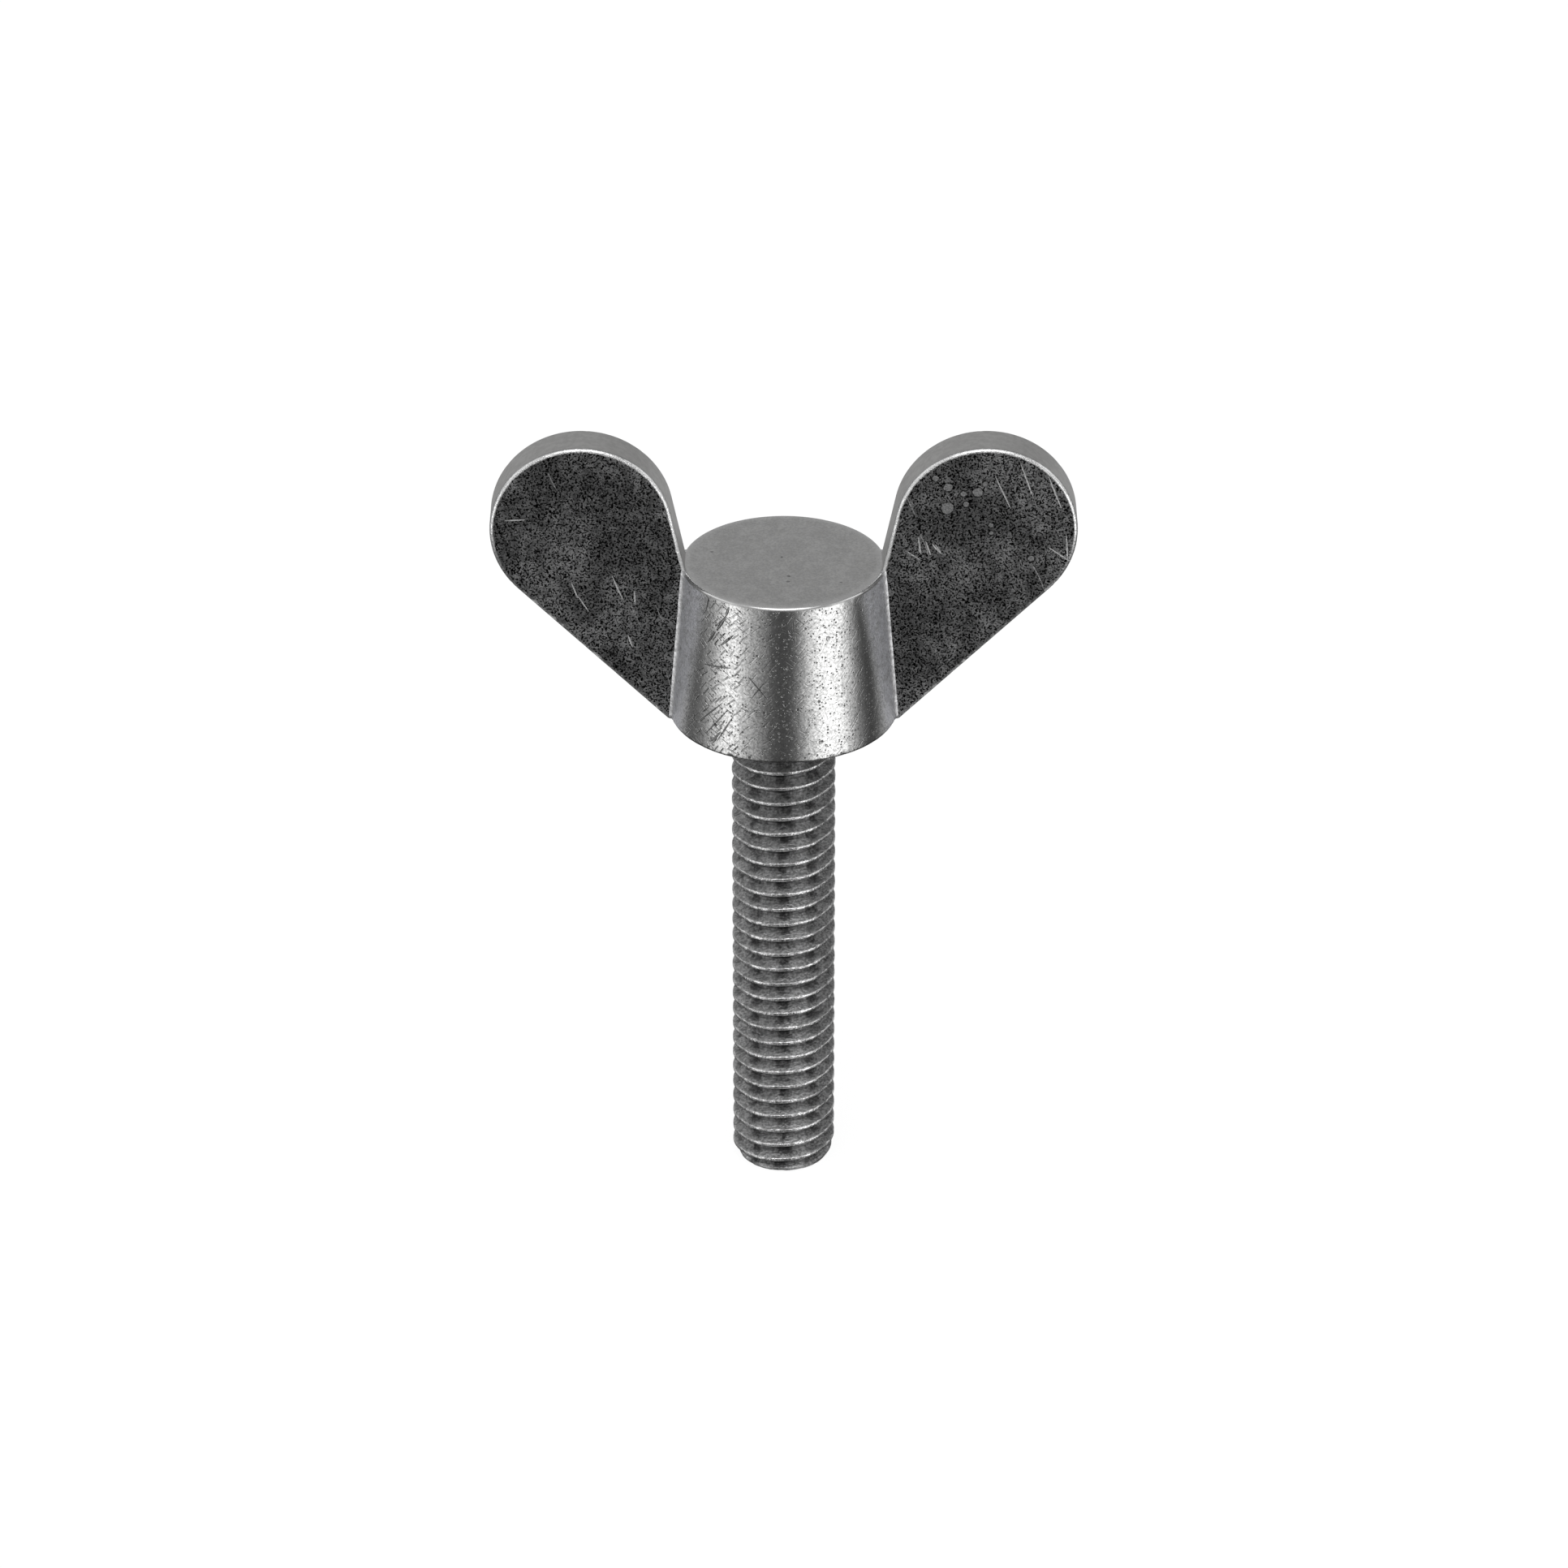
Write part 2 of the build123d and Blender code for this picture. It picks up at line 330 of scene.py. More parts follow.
def scratch_group():
    """Sparse straight hairlines lying mostly one way in the vector's XY plane."""
    group, web, given, out = new_group(
        "Metal scratches",
        [
            ("Vector", "INPUT", "NodeSocketVector", None),
            ("Angle", "INPUT", "NodeSocketFloat", 0.6),
            ("Length", "INPUT", "NodeSocketFloat", 2.0),
            ("Width", "INPUT", "NodeSocketFloat", 0.03),
            ("Amount", "INPUT", "NodeSocketFloat", 0.3),
            ("Mask", "OUTPUT", "NodeSocketFloat", None),
        ],
    )
    wander = web.add("ShaderNodeTexNoise", {"Vector": given["Vector"], "Scale": 0.35, "Detail": 1.0})
    drift = web.vector("SCALE", web.vector("SUBTRACT", wander.outputs["Color"], (0.5, 0.5, 0.5)), scale=0.9)
    bent = web.vector("ADD", given["Vector"], drift)
    turned = web.add(
        "ShaderNodeVectorRotate",
        {"Vector": bent, "Angle": given["Angle"]},
        rotation_type="Z_AXIS",
    )
    along, across, _ = web.split(turned.outputs["Vector"])
    cell = web.maths("MULTIPLY", given["Width"], 5.0)
    flat = web.join(web.maths("DIVIDE", along, given["Length"]), web.maths("DIVIDE", across, cell), 0.0)
    cells = web.add(
        "ShaderNodeTexVoronoi",
        {"Vector": flat, "Scale": 1.0, "Randomness": 1.0},
        feature="F1",
        voronoi_dimensions="2D",
    )
    offset = web.vector("SUBTRACT", flat, cells.outputs["Position"])
    off_along, off_across, _ = web.split(offset)
    thin = web.ramp(web.maths("ABSOLUTE", off_across), 0.04, 0.12, 1.0, 0.0)
    short = web.ramp(web.maths("ABSOLUTE", off_along), 0.18, 0.42, 1.0, 0.0)
    pick, strength, _ = web.split(cells.outputs["Color"])
    chosen = web.maths("LESS_THAN", pick, given["Amount"])
    mask = web.maths("MULTIPLY", web.maths("MULTIPLY", thin, short), chosen)
    web.feed(out["Mask"], web.maths("MULTIPLY", mask, web.ramp(strength, 0.0, 1.0, 0.35, 1.0)))
    return group


def score_group():
    """One scratch: a tapering stroke from Start to End in the vector's own plane."""
    group, web, given, out = new_group(
        "Single score",
        [
            ("Vector", "INPUT", "NodeSocketVector", None),
            ("Start", "INPUT", "NodeSocketVector", None),
            ("End", "INPUT", "NodeSocketVector", None),
            ("Width", "INPUT", "NodeSocketFloat", 0.05),
            ("Mask", "OUTPUT", "NodeSocketFloat", None),
        ],
    )
    from_start = web.vector("SUBTRACT", given["Vector"], given["Start"])
    stroke = web.vector("SUBTRACT", given["End"], given["Start"])

    def dot(a, b):
        node = web.add("ShaderNodeVectorMath", operation="DOT_PRODUCT")
        web.feed(node.inputs[0], a)
        web.feed(node.inputs[1], b)
        return node.outputs["Value"]

    share = web.maths("DIVIDE", dot(from_start, stroke), dot(stroke, stroke), clamp=True)
    nearest = web.vector("SCALE", stroke, scale=share)
    apart = web.vector("SUBTRACT", from_start, nearest)
    distance = web.maths("SQRT", dot(apart, apart))
    swept = web.maths("ADD", web.maths("MULTIPLY", share, 0.8), 0.1)
    swell = web.maths("SINE", web.maths("MULTIPLY", swept, math.pi))
    width = web.maths("MULTIPLY", given["Width"], swell)
    web.feed(out["Mask"], web.ramp(distance, web.maths("MULTIPLY", width, 0.3), width, 1.0, 0.0))
    return group


def spot_group():
    """One ragged round spot: its body and the thin outline round it."""
    group, web, given, out = new_group(
        "Single spot",
        [
            ("Vector", "INPUT", "NodeSocketVector", None),
            ("Centre", "INPUT", "NodeSocketVector", None),
            ("Size", "INPUT", "NodeSocketFloat", 0.2),
            ("Body", "OUTPUT", "NodeSocketFloat", None),
            ("Outline", "OUTPUT", "NodeSocketFloat", None),
        ],
    )
    apart = web.vector("SUBTRACT", given["Vector"], given["Centre"])
    reach = web.add("ShaderNodeVectorMath", {0: apart}, operation="LENGTH").outputs["Value"]
    ragged = web.maths("MULTIPLY", web.maths("SUBTRACT", web.grain(given["Vector"], 4.0), 0.5), 0.16)
    edge = web.maths("ADD", web.maths("SUBTRACT", reach, given["Size"]), ragged)
    web.feed(out["Body"], web.ramp(edge, -0.04, 0.0, 1.0, 0.0))
    from_outline = web.maths("ABSOLUTE", web.maths("SUBTRACT", edge, 0.03))
    web.feed(out["Outline"], web.ramp(from_outline, 0.01, 0.05, 1.0, 0.0))
    return group


GROUP_MAKERS = {
    "score": score_group,
    "spot": spot_group,
    "speckle": speckle_group,
    "pits": pit_group,
    "scratches": scratch_group,
}
GROUPS = {}


def effect(web, kind, **values):
    """Places a shared effect in a material and returns its outputs."""
    if kind not in GROUPS:
        GROUPS[kind] = GROUP_MAKERS[kind]()
    node = web.add("ShaderNodeGroup", node_tree=GROUPS[kind])
    for key, value in values.items():
        web.feed(node.inputs[key.capitalize()], value)
    return node.outputs


def scores(web, vector, strokes):
    """All the listed scratches together: each is (start, end, width) in the vector's plane."""
    total = 0.0
    for start, end, width in strokes:
        ends = {"start": (*start, 0.0), "end": (*end, 0.0)}
        stroke = effect(web, "score", vector=vector, width=width, **ends)["Mask"]
        total = web.maths("MAXIMUM", total, stroke)
    return total


def spots(web, vector, places):
    """Bodies and outlines of all the listed spots: each is (centre, size) in the vector's plane."""
    body, outline = 0.0, 0.0
    for centre, size in places:
        found = effect(web, "spot", vector=vector, centre=(*centre, 0.0), size=size)
        body = web.maths("MAXIMUM", body, found["Body"])
        outline = web.maths("MAXIMUM", outline, found["Outline"])
    return body, outline


def metal(name, roughness=0.3):
    """A new material with a metallic shader. Returns (material, web, shader, millimetre coordinates)."""
    material = bpy.data.materials.new(name)
    material.use_nodes = True
    web = Web(material.node_tree)
    shader = material.node_tree.nodes["Principled BSDF"]
    shader.inputs["Metallic"].default_value = 1.0
    shader.inputs["Roughness"].default_value = roughness
    coordinates = web.add("ShaderNodeTexCoord").outputs["Object"]
    in_mm = web.vector("SCALE", coordinates, scale=1.0 / MM)
    return material, web, shader, in_mm


def shade(web, base, factor):
    """The base colour made darker or lighter by a grey factor."""
    return web.vector("SCALE", base, scale=factor)


def attribute(web, name):
    return web.add("ShaderNodeAttribute", attribute_name=name, attribute_type="GEOMETRY").outputs["Fac"]


# mean radius of the hub's side in millimetres, at which the side is unrolled
UNROLLED_RADIUS = 6.1

HUB_SCORES = [
    # (start, end, width) on the unrolled side, in millimetres from the front line and the base
    ((-3.39, 9.1), (-3.6, 8.46), 0.1),
    ((-3.6, 8.46), (-4.18, 7.47), 0.12),
    ((-4.95, 9.2), (-5.12, 8.39), 0.07),
    ((-4.27, 7.35), (-4.85, 6.49), 0.09),
    ((-3.04, 7.45), (-3.83, 6.66), 0.09),
    ((-4.97, 5.11), (-3.13, 5.44), 0.07),
    ((-3.2, 2.84), (-4.57, 0.97), 0.06),
    ((-2.85, 2.52), (-3.8, 0.73), 0.055),
    ((-3.56, 3.16), (-5.04, 1.63), 0.06),
    ((-3.57, 1.4), (-4.16, 0.61), 0.08),
    ((-2.04, 5.18), (-0.93, 3.91), 0.06),
    ((-1.09, 4.89), (-1.77, 3.89), 0.06),
    ((0.53, 9.28), (0.67, 6.49), 0.05),
]
HUB_DENTS = [
    # (centre, size) on the unrolled side
    ((-4.4, 5.23), 0.15),
    ((2.04, 1.11), 0.13),
    ((2.34, 0.88), 0.09),
    ((1.24, 3.14), 0.07),
    ((-2.06, 3.02), 0.08),
    ((2.63, 7.38), 0.14),
    ((-1.07, 3.57), 0.08),
    ((1.22, 1.81), 0.07),
]
TOP_MARKS = [
    # (centre, size) on the hub's top face
    ((0.28, -1.84), 0.13),
    ((0.25, -2.5), 0.12),
    ((-0.1, 0.48), 0.09),
    ((0.36, -0.02), 0.07),
    ((-4.05, 1.14), 0.12),
    ((3.24, -2.59), 0.07),
]
WING_SCORES = [
    # (start, end, width) on the right-hand wing's front face, in millimetres across and up
    ((11.82, 15.41), (12.7, 13.43), 0.06),
    ((13.22, 16.2), (13.97, 14.07), 0.055),
    ((14.79, 15.41), (15.54, 13.43), 0.065),
    ((7.57, 11.6), (7.69, 10.56), 0.065),
    ((7.97, 11.36), (8.26, 10.48), 0.06),
    ((8.33, 11.2), (8.76, 10.64), 0.06),
    ((14.88, 10.96), (16.11, 10.08), 0.065),
    ((15.86, 11.68), (15.96, 10.16), 0.065),
    ((6.91, 10.72), (7.7, 10.16), 0.05),
    ((8.54, 11.12), (8.86, 10.56), 0.055),
    # and on the left-hand wing's
    ((-9.65, 9.15), (-9.05, 7.6), 0.06),
    ((-11.95, 8.75), (-11.6, 7.75), 0.055),
    ((-11.6, 7.9), (-11.0, 6.9), 0.05),
    ((-8.4, 8.2), (-8.38, 7.4), 0.065),
    ((-15.6, 12.65), (-14.5, 12.7), 0.065),
    ((-8.8, 5.4), (-8.55, 4.6), 0.06),
]
WING_SPOTS = [
    # (centre, size) on the right-hand wing's front face
    ((9.18, 14.73), 0.25),
    ((10.84, 14.42), 0.28),
    ((10.07, 14.31), 0.19),
    ((9.16, 13.43), 0.36),
    ((8.47, 15.3), 0.19),
    ((11.63, 12.35), 0.15),
    ((10.22, 13.67), 0.18),
    ((11.63, 11.87), 0.13),
    ((11.26, 14.94), 0.15),
    ((13.9, 10.24), 0.19),
]


def hub_material(finish):
    """Polished turned steel: speckled, pitted and scratched sides, a plain satin top, a painted highlight
    line along the top rim and a painted shade line along the base edge.
    """
    material, web, shader, place = metal("hub_polished_steel")
    x, y, z = web.split(place)
    round_angle = web.maths("ARCTAN2", x, web.maths("MULTIPLY", y, -1.0))
    unrolled = web.join(web.maths("MULTIPLY", round_angle, UNROLLED_RADIUS), z, 0.0)
    squares = web.maths("ADD", web.maths("MULTIPLY", x, x), web.maths("MULTIPLY", y, y))
    radius = web.maths("SQRT", squares)
    under = web.ramp(z, 0.02, 0.06, 1.0, 0.0)
    side = web.maths("SUBTRACT", web.ramp(z, HUB_TOP / MM - 0.16, HUB_TOP / MM - 0.24), under)
    # rim: the band along the top rim that carries a painted highlight
    rim = attribute(web, "rim")
    speckle = effect(web, "speckle", vector=place, scale=8.0, contrast=0.12)
    pits = effect(web, "pits", vector=place, scale=2.6, size=0.26, amount=0.3)["Mask"]
    specks = effect(web, "pits", vector=place, scale=6.5, size=0.4, amount=0.45)["Mask"]
    from_front = web.maths("ABSOLUTE", round_angle)
    turned_away = web.maths("MINIMUM", from_front, web.maths("SUBTRACT", math.pi, from_front))
    turned_away = web.maths("ADD", turned_away, web.maths("MULTIPLY", z, 0.028))
    frosted = web.maths("MULTIPLY", web.ramp(turned_away, 1.02, 1.22, 0.0, 0.85), side)
    uneven = web.ramp(web.grain(unrolled, 2.0, detail=3.0), 0.3, 0.6, 0.6, 1.0)
    frosted = web.maths("MULTIPLY", frosted, uneven)
    left_band = web.ramp(web.maths("ABSOLUTE", web.maths("ADD", round_angle, 0.66)), 0.2, 0.42, 1.0, 0.0)
    strokes = effect(
        web, "scratches", vector=unrolled, angle=-0.85, length=0.9, width=0.08, amount=0.8
    )["Mask"]
    crossing = effect(
        web, "scratches", vector=unrolled, angle=0.5, length=0.7, width=0.065, amount=0.5
    )["Mask"]
    strokes = web.maths("MAXIMUM", strokes, crossing)
    strokes = web.maths("MULTIPLY", strokes, web.between(left_band, 0.12, 0.9))
    own_scores = scores(web, unrolled, HUB_SCORES)
    dents = spots(web, unrolled, HUB_DENTS)[0]
    scored = web.maths("MAXIMUM", strokes, own_scores)
    scored = web.maths("MAXIMUM", scored, web.maths("MULTIPLY", dents, 0.8))
    scored = web.maths("MULTIPLY", scored, side)
    marks = web.maths("MULTIPLY", web.maths("MAXIMUM", pits, specks), side)
    stains = spots(web, web.join(x, y, 0.0), TOP_MARKS)[0]
    stains = web.maths("MULTIPLY", stains, web.maths("SUBTRACT", 1.0, side))
    top_tone = web.between(speckle["Fine"], 0.83, 1.0)
    top_tone = web.maths("MULTIPLY", top_tone, web.between(speckle["Patches"], 0.93, 1.04))
    tone = web.between(side, top_tone, web.between(speckle["Fine"], 0.72, 1.16))
    tone = web.maths("MULTIPLY", tone, web.between(web.maths("MULTIPLY", marks, 0.9), 1.0, 0.25))
    tone = web.maths("MULTIPLY", tone, web.between(web.maths("MULTIPLY", scored, 0.85), 1.0, 0.25))
    tone = web.maths("MULTIPLY", tone, web.between(stains, 1.0, 0.5))
    # painted shade: a dark line along the hub's lower edge
    painted_foot_shade = web.maths("MULTIPLY", web.ramp(z, 0.07, 0.17, 1.0, 0.0), web.ramp(radius, 6.36, 6.44))
    tone = web.maths("MULTIPLY", tone, web.between(painted_foot_shade, 1.0, 0.22))
    bright = shade(web, finish.hub, tone)
    frost = shade(web, finish.frost, web.between(speckle["Fine"], 0.78, 1.1))
    bright = web.blend(frosted, bright, frost)
    # painted highlight: the rim band's base colour is lightened to 0.92, a light line along the top rim
    web.feed(shader.inputs["Base Color"], web.blend(rim, bright, (0.92, 0.92, 0.92)))
    web.feed(shader.inputs["Metallic"], web.between(frosted, 1.0, 0.45))
    rough = web.between(speckle["Fine"], 0.24, 0.14)
    rough = web.between(side, 0.33, rough)
    rough = web.maths("ADD", rough, web.maths("MULTIPLY", marks, 0.2))
    rough = web.between(frosted, rough, 0.42)
    web.feed(shader.inputs["Roughness"], web.between(rim, rough, 0.2))
    grain = web.grain(place, 5.0, detail=3.0, roughness=0.7)
    waves = web.grain(place, 0.8, detail=2.0)
    rugged = web.between(frosted, web.between(side, 0.15, 0.5), 0.9)
    ringed = web.join(web.maths("MULTIPLY", radius, 5.0), 0.0, 0.0)
    turning = web.maths("MULTIPLY", web.grain(ringed, 1.0), under)
    relief = web.maths("MULTIPLY", grain, rugged)
    relief = web.maths("SUBTRACT", relief, web.maths("MULTIPLY", marks, 1.0))
    relief = web.maths("SUBTRACT", relief, web.maths("MULTIPLY", scored, 3.0))
    relief = web.maths("ADD", relief, web.maths("MULTIPLY", waves, 2.0))
    relief = web.maths("SUBTRACT", relief, web.maths("MULTIPLY", stains, 0.5))
    relief = web.maths("ADD", relief, web.maths("MULTIPLY", turning, 4.0))
    web.feed(shader.inputs["Normal"], web.bump(relief, 0.012 * MM))
    return material


def wing_material(finish):
    """Speckled steel faces, dark partly from a darkened finish and partly from painted shade for their dark
    reflection, with bare satin edges and bright worn bevels; painted shade darkens the lower bevels and a
    painted dark reflection line runs along each bevel's outer edge.
    """
    material, web, shader, place = metal("wing_darkened_steel")
    x, y, z = web.split(place)
    flat = web.join(x, z, 0.0)
    from_edge = attribute(web, "from_edge")
    edge_side = attribute(web, "edge_side")
    front = web.maths("LESS_THAN", y, 0.0)
    edge_down = attribute(web, "edge_down")
    speckle = effect(web, "speckle", vector=place, scale=9.0, contrast=0.06)
    coarse = effect(web, "speckle", vector=place, scale=2.6, contrast=0.14)
    worn_spots = effect(web, "pits", vector=place, scale=1.5, size=0.22, amount=0.2)["Mask"]
    glints = effect(web, "pits", vector=place, scale=4.5, size=0.3, amount=0.4)["Mask"]
    own_spots, own_rings = spots(web, flat, WING_SPOTS)
    own_spots = web.maths("MULTIPLY", own_spots, front)
    own_rings = web.maths("MULTIPLY", own_rings, front)
    hairlines = effect(
        web, "scratches", vector=flat, angle=1.15, length=2.4, width=0.05, amount=0.05
    )["Mask"]
    own_scores = web.maths("MULTIPLY", scores(web, flat, WING_SCORES), front)
    scored = web.maths("MAXIMUM", web.maths("MULTIPLY", hairlines, 0.6), own_scores)
    pale = web.maths("MAXIMUM", own_spots, web.maths("MULTIPLY", worn_spots, 0.3))
    pale = web.maths("MAXIMUM", pale, web.maths("MULTIPLY", glints, 0.8))
    tone = web.between(speckle["Fine"], 0.0, 2.04)
    tone = web.maths("MULTIPLY", tone, web.between(coarse["Fine"], 0.7, 1.25))
    tone = web.maths("MULTIPLY", tone, web.between(coarse["Patches"], 0.68, 1.4))
    tone = web.between(pale, tone, web.between(speckle["Fine"], 1.9, 2.9))
    tone = web.maths("MULTIPLY", tone, web.between(own_rings, 1.0, 0.3))
    # the faces' dark base colour: partly a darkened finish, partly painted shade for the dark reflection
    # they show
    face = web.blend(scored, shade(web, finish.face, tone), (0.85, 0.85, 0.85))
    edge_grain = web.grain(place, 3.0, detail=3.0, roughness=0.6)
    edge_tone = web.ramp(edge_grain, 0.3, 0.7, 0.9, 1.06)
    edge = shade(web, finish.edge, edge_tone)
    ragged = web.maths("MULTIPLY", web.maths("SUBTRACT", web.grain(place, 2.6, detail=3.0), 0.5), 0.16)
    wear_line = web.maths("ADD", from_edge, ragged)
    bevel = web.ramp(wear_line, 0.17, 0.24, 1.0, 0.0)
    nicked = web.ramp(web.grain(place, 1.6, detail=3.0, roughness=0.7), 0.52, 0.6)
    # painted shade: bevels on the wing's lower edges keep the dark face colour, except at the bright nicks
    painted_lower_bevel_shade = web.maths("MULTIPLY", edge_down, web.between(nicked, 0.85, 0.1))
    bevel = web.maths("MULTIPLY", bevel, web.maths("SUBTRACT", 1.0, painted_lower_bevel_shade))
    worn = web.blend(bevel, face, (0.97, 0.97, 0.97))
    # painted reflection: a thin dark line along the outer part of each bevel, where it meets the edge side
    worn = shade(web, worn, web.ramp(from_edge, 0.012, 0.045, 0.5, 1.0))
    web.feed(shader.inputs["Base Color"], web.blend(edge_side, worn, edge))
    face_rough = web.between(speckle["Fine"], 0.52, 0.4)
    rough = web.between(bevel, face_rough, 0.2)
    web.feed(shader.inputs["Roughness"], web.between(edge_side, rough, 0.4))
    relief = web.maths("MULTIPLY", speckle["Fine"], 0.6)
    relief = web.maths("ADD", relief, web.maths("MULTIPLY", coarse["Fine"], 0.5))
    relief = web.maths("SUBTRACT", relief, web.maths("MULTIPLY", scored, 0.8))
    relief = web.between(edge_side, relief, web.maths("MULTIPLY", edge_grain, 0.35))
    web.feed(shader.inputs["Normal"], web.bump(relief, 0.012 * MM))
    return material


def braze_material(finish):
    """Bright silver braze, finely frosted where it froze."""
    material, web, shader, place = metal("silver_braze")
    speckle = effect(web, "speckle", vector=place, scale=5.0, contrast=0.22)
    tone = web.between(speckle["Fine"], 0.6, 1.08)
    tone = web.maths("MULTIPLY", tone, web.between(speckle["Patches"], 0.92, 1.03))
    web.feed(shader.inputs["Base Color"], shade(web, finish.braze, tone))
    web.feed(shader.inputs["Roughness"], web.between(speckle["Fine"], 0.5, 0.38))
    web.feed(shader.inputs["Normal"], web.bump(speckle["Fine"], 0.008 * MM))
    return material


def stud_material(finish):
    """Rolled thread: polished crests, grey flanks with painted dark reflection streaks, painted shade in the
    roots and towards the right-hand side.
    """
    material, web, shader, place = metal("stud_rolled_steel")
    crest = attribute(web, "crest")
    x, y, z = web.split(place)
    threaded = web.ramp(z, 0.02 - STUD_END / MM, 0.06 - STUD_END / MM)
    crest = web.between(threaded, 0.6, crest)
    speckle = effect(web, "speckle", vector=place, scale=7.0, contrast=0.13)
    coarse = effect(web, "speckle", vector=place, scale=1.8, contrast=0.16)
    round_angle = web.maths("ARCTAN2", x, web.maths("MULTIPLY", y, -1.0))
    drift = web.maths("MULTIPLY", web.maths("SUBTRACT", web.grain(place, 1.1, detail=2.0), 0.5), 5.0)
    # painted reflection: dark streaks running down the flanks, nine round the stud, broken up by noise
    columns = web.maths("COSINE", web.maths("ADD", web.maths("MULTIPLY", round_angle, 9.0), drift))
    columns = web.ramp(columns, -0.1, 0.8)
    broken = web.ramp(web.grain(place, 1.5, detail=4.0, roughness=0.75), 0.36, 0.54)
    painted_reflection_streaks = web.maths("MULTIPLY", web.maths("MULTIPLY", columns, broken), threaded)
    painted_reflection_streaks = web.maths("MULTIPLY", painted_reflection_streaks, web.ramp(crest, 0.3, 0.9, 1.0, 0.1))
    tone = web.between(speckle["Fine"], 0.66, 1.32)
    tone = web.maths("MULTIPLY", tone, web.between(coarse["Fine"], 0.82, 1.12))
    tone = web.maths("MULTIPLY", tone, web.between(painted_reflection_streaks, 1.0, 0.36))
    # painted shade: the flanks darken towards the stud's right-hand side (+X)
    tone = web.maths("MULTIPLY", tone, web.ramp(x, 0.9, 2.6, 1.0, 0.7))
    # painted shade: the thread's roots are darkened
    painted_root_shade = web.ramp(crest, 0.02, 0.22, 0.34, 1.0)
    tone = web.maths("MULTIPLY", tone, painted_root_shade)
    flank = shade(web, finish.stud, tone)
    ragged = web.maths("MULTIPLY", web.maths("SUBTRACT", web.grain(place, 3.0, detail=3.0), 0.5), 0.5)
    polish = web.ramp(web.maths("ADD", crest, ragged), 0.88, 1.0)
    gleam = web.ramp(web.grain(place, 2.2, detail=3.0, roughness=0.7), 0.38, 0.56, 0.45, 0.95)
    web.feed(shader.inputs["Base Color"], web.blend(polish, flank, shade(web, (1.0, 1.0, 1.0), gleam)))
    web.feed(shader.inputs["Roughness"], web.between(polish, web.between(speckle["Fine"], 0.48, 0.36), 0.2))
    relief = web.maths("ADD", speckle["Fine"], web.maths("MULTIPLY", coarse["Fine"], 0.8))
    web.feed(shader.inputs["Normal"], web.bump(relief, 0.01 * MM))
    return material


# ---------------------------------------------------------------- meshes


def add_mesh(name, vertices, faces, material, attributes=()):
    """A smooth-shaded mesh object at the origin, with float attributes on its points."""
    mesh = bpy.data.meshes.new(name)
    mesh.from_pydata([tuple(v) for v in vertices], [], faces)
    mesh.validate()
    for label, values in dict(attributes).items():
        layer = mesh.attributes.new(label, "FLOAT", "POINT")
        layer.data.foreach_set("value", values)
    mesh.polygons.foreach_set("use_smooth", [True] * len(mesh.polygons))
    mesh.materials.append(material)
    mesh.update()
    piece = bpy.data.objects.new(name, mesh)
    bpy.context.scene.collection.objects.link(piece)
    return piece


def place_piece(piece, slot, *nodes):
    """Rides a finished piece on the root body in place of its CAD nodes."""
    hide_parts(*nodes)
    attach(piece, "root")


def rounded(corner, before, after, radius, steps):
    """Points of an arc that rounds the corner between two straight runs of a profile."""
    corner, before, after = Vector(corner), Vector(before), Vector(after)
    one = (before - corner).normalized()
    two = (after - corner).normalized()
    half = one.angle(two) / 2
    reach = radius / math.tan(half)
    centre = corner + (one + two).normalized() * (radius / math.sin(half))
    start = corner + one * reach - centre
    end = corner + two * reach - centre
    sweep = start.angle_signed(end)
    points = []
    for step in range(steps + 1):
        angle = -sweep * step / steps
        turned = Vector(
            (
                start.x * math.cos(angle) - start.y * math.sin(angle),
                start.x * math.sin(angle) + start.y * math.cos(angle),
            )
        )
        points.append(tuple(centre + turned))
    return points


def run(start, end, steps):
    """Evenly spaced points from start up to, but not including, end."""
    return [
        (
            start[0] + (end[0] - start[0]) * step / steps,
            start[1] + (end[1] - start[1]) * step / steps,
        )
        for step in range(steps)
    ]


def lathe(profile, segments):
    """Vertices and faces of a closed solid turned about Z, its profile running from axis to axis."""
    vertices = [(0.0, 0.0, profile[0][1])]
    for radius, height in profile[1:-1]:
        for step in range(segments):
            angle = 2 * math.pi * step / segments
            vertices.append((radius * math.cos(angle), radius * math.sin(angle), height))
    vertices.append((0.0, 0.0, profile[-1][1]))
    faces = []
    last = len(vertices) - 1
    rings = len(profile) - 2
    for step in range(segments):
        following = (step + 1) % segments
        faces.append((0, 1 + step, 1 + following))
        for ring in range(rings - 1):
            here = 1 + ring * segments
            below = here + segments
            faces.append((here + step, below + step, below + following, here + following))
        foot = 1 + (rings - 1) * segments
        faces.append((foot + step, last, foot + following))
    return vertices, faces


def hub_profile(hub):
    """Profile of the hub from its top centre round to the point of its bore."""
    top, base = (hub.top_radius, hub.height), (hub.base_radius, 0.0)
    rim = rounded(top, (0.0, hub.height), base, hub.top_round, 8)
    foot = rounded(base, top, (0.0, 0.0), hub.base_round, 5)
    mouth = hub.counterbore_radius
    shoulder = hub.counterbore_depth
    bore = hub.bore_radius
    points = run((0.0, hub.height), rim[0], 14)
    points += rim
    points += run(rim[-1], foot[0], 30)[1:]
    points += foot
    points += run(foot[-1], (mouth, 0.0), 8)[1:]
    points += run((mouth, 0.0), (mouth, shoulder), 2)
    points += run((mouth, shoulder), (bore, shoulder), 2)
    points += run((bore, shoulder), (bore, hub.bore_depth), 6)
    points += [(bore, hub.bore_depth), (0.0, hub.bore_depth + 0.6 * bore)]
    return points


def ding(point, scale, seed):
    """Smooth noise from -1 to 1 at a place, its features about scale wide."""
    return noise.noise(Vector(point) / scale + Vector((seed, 2.0 * seed, -seed)))


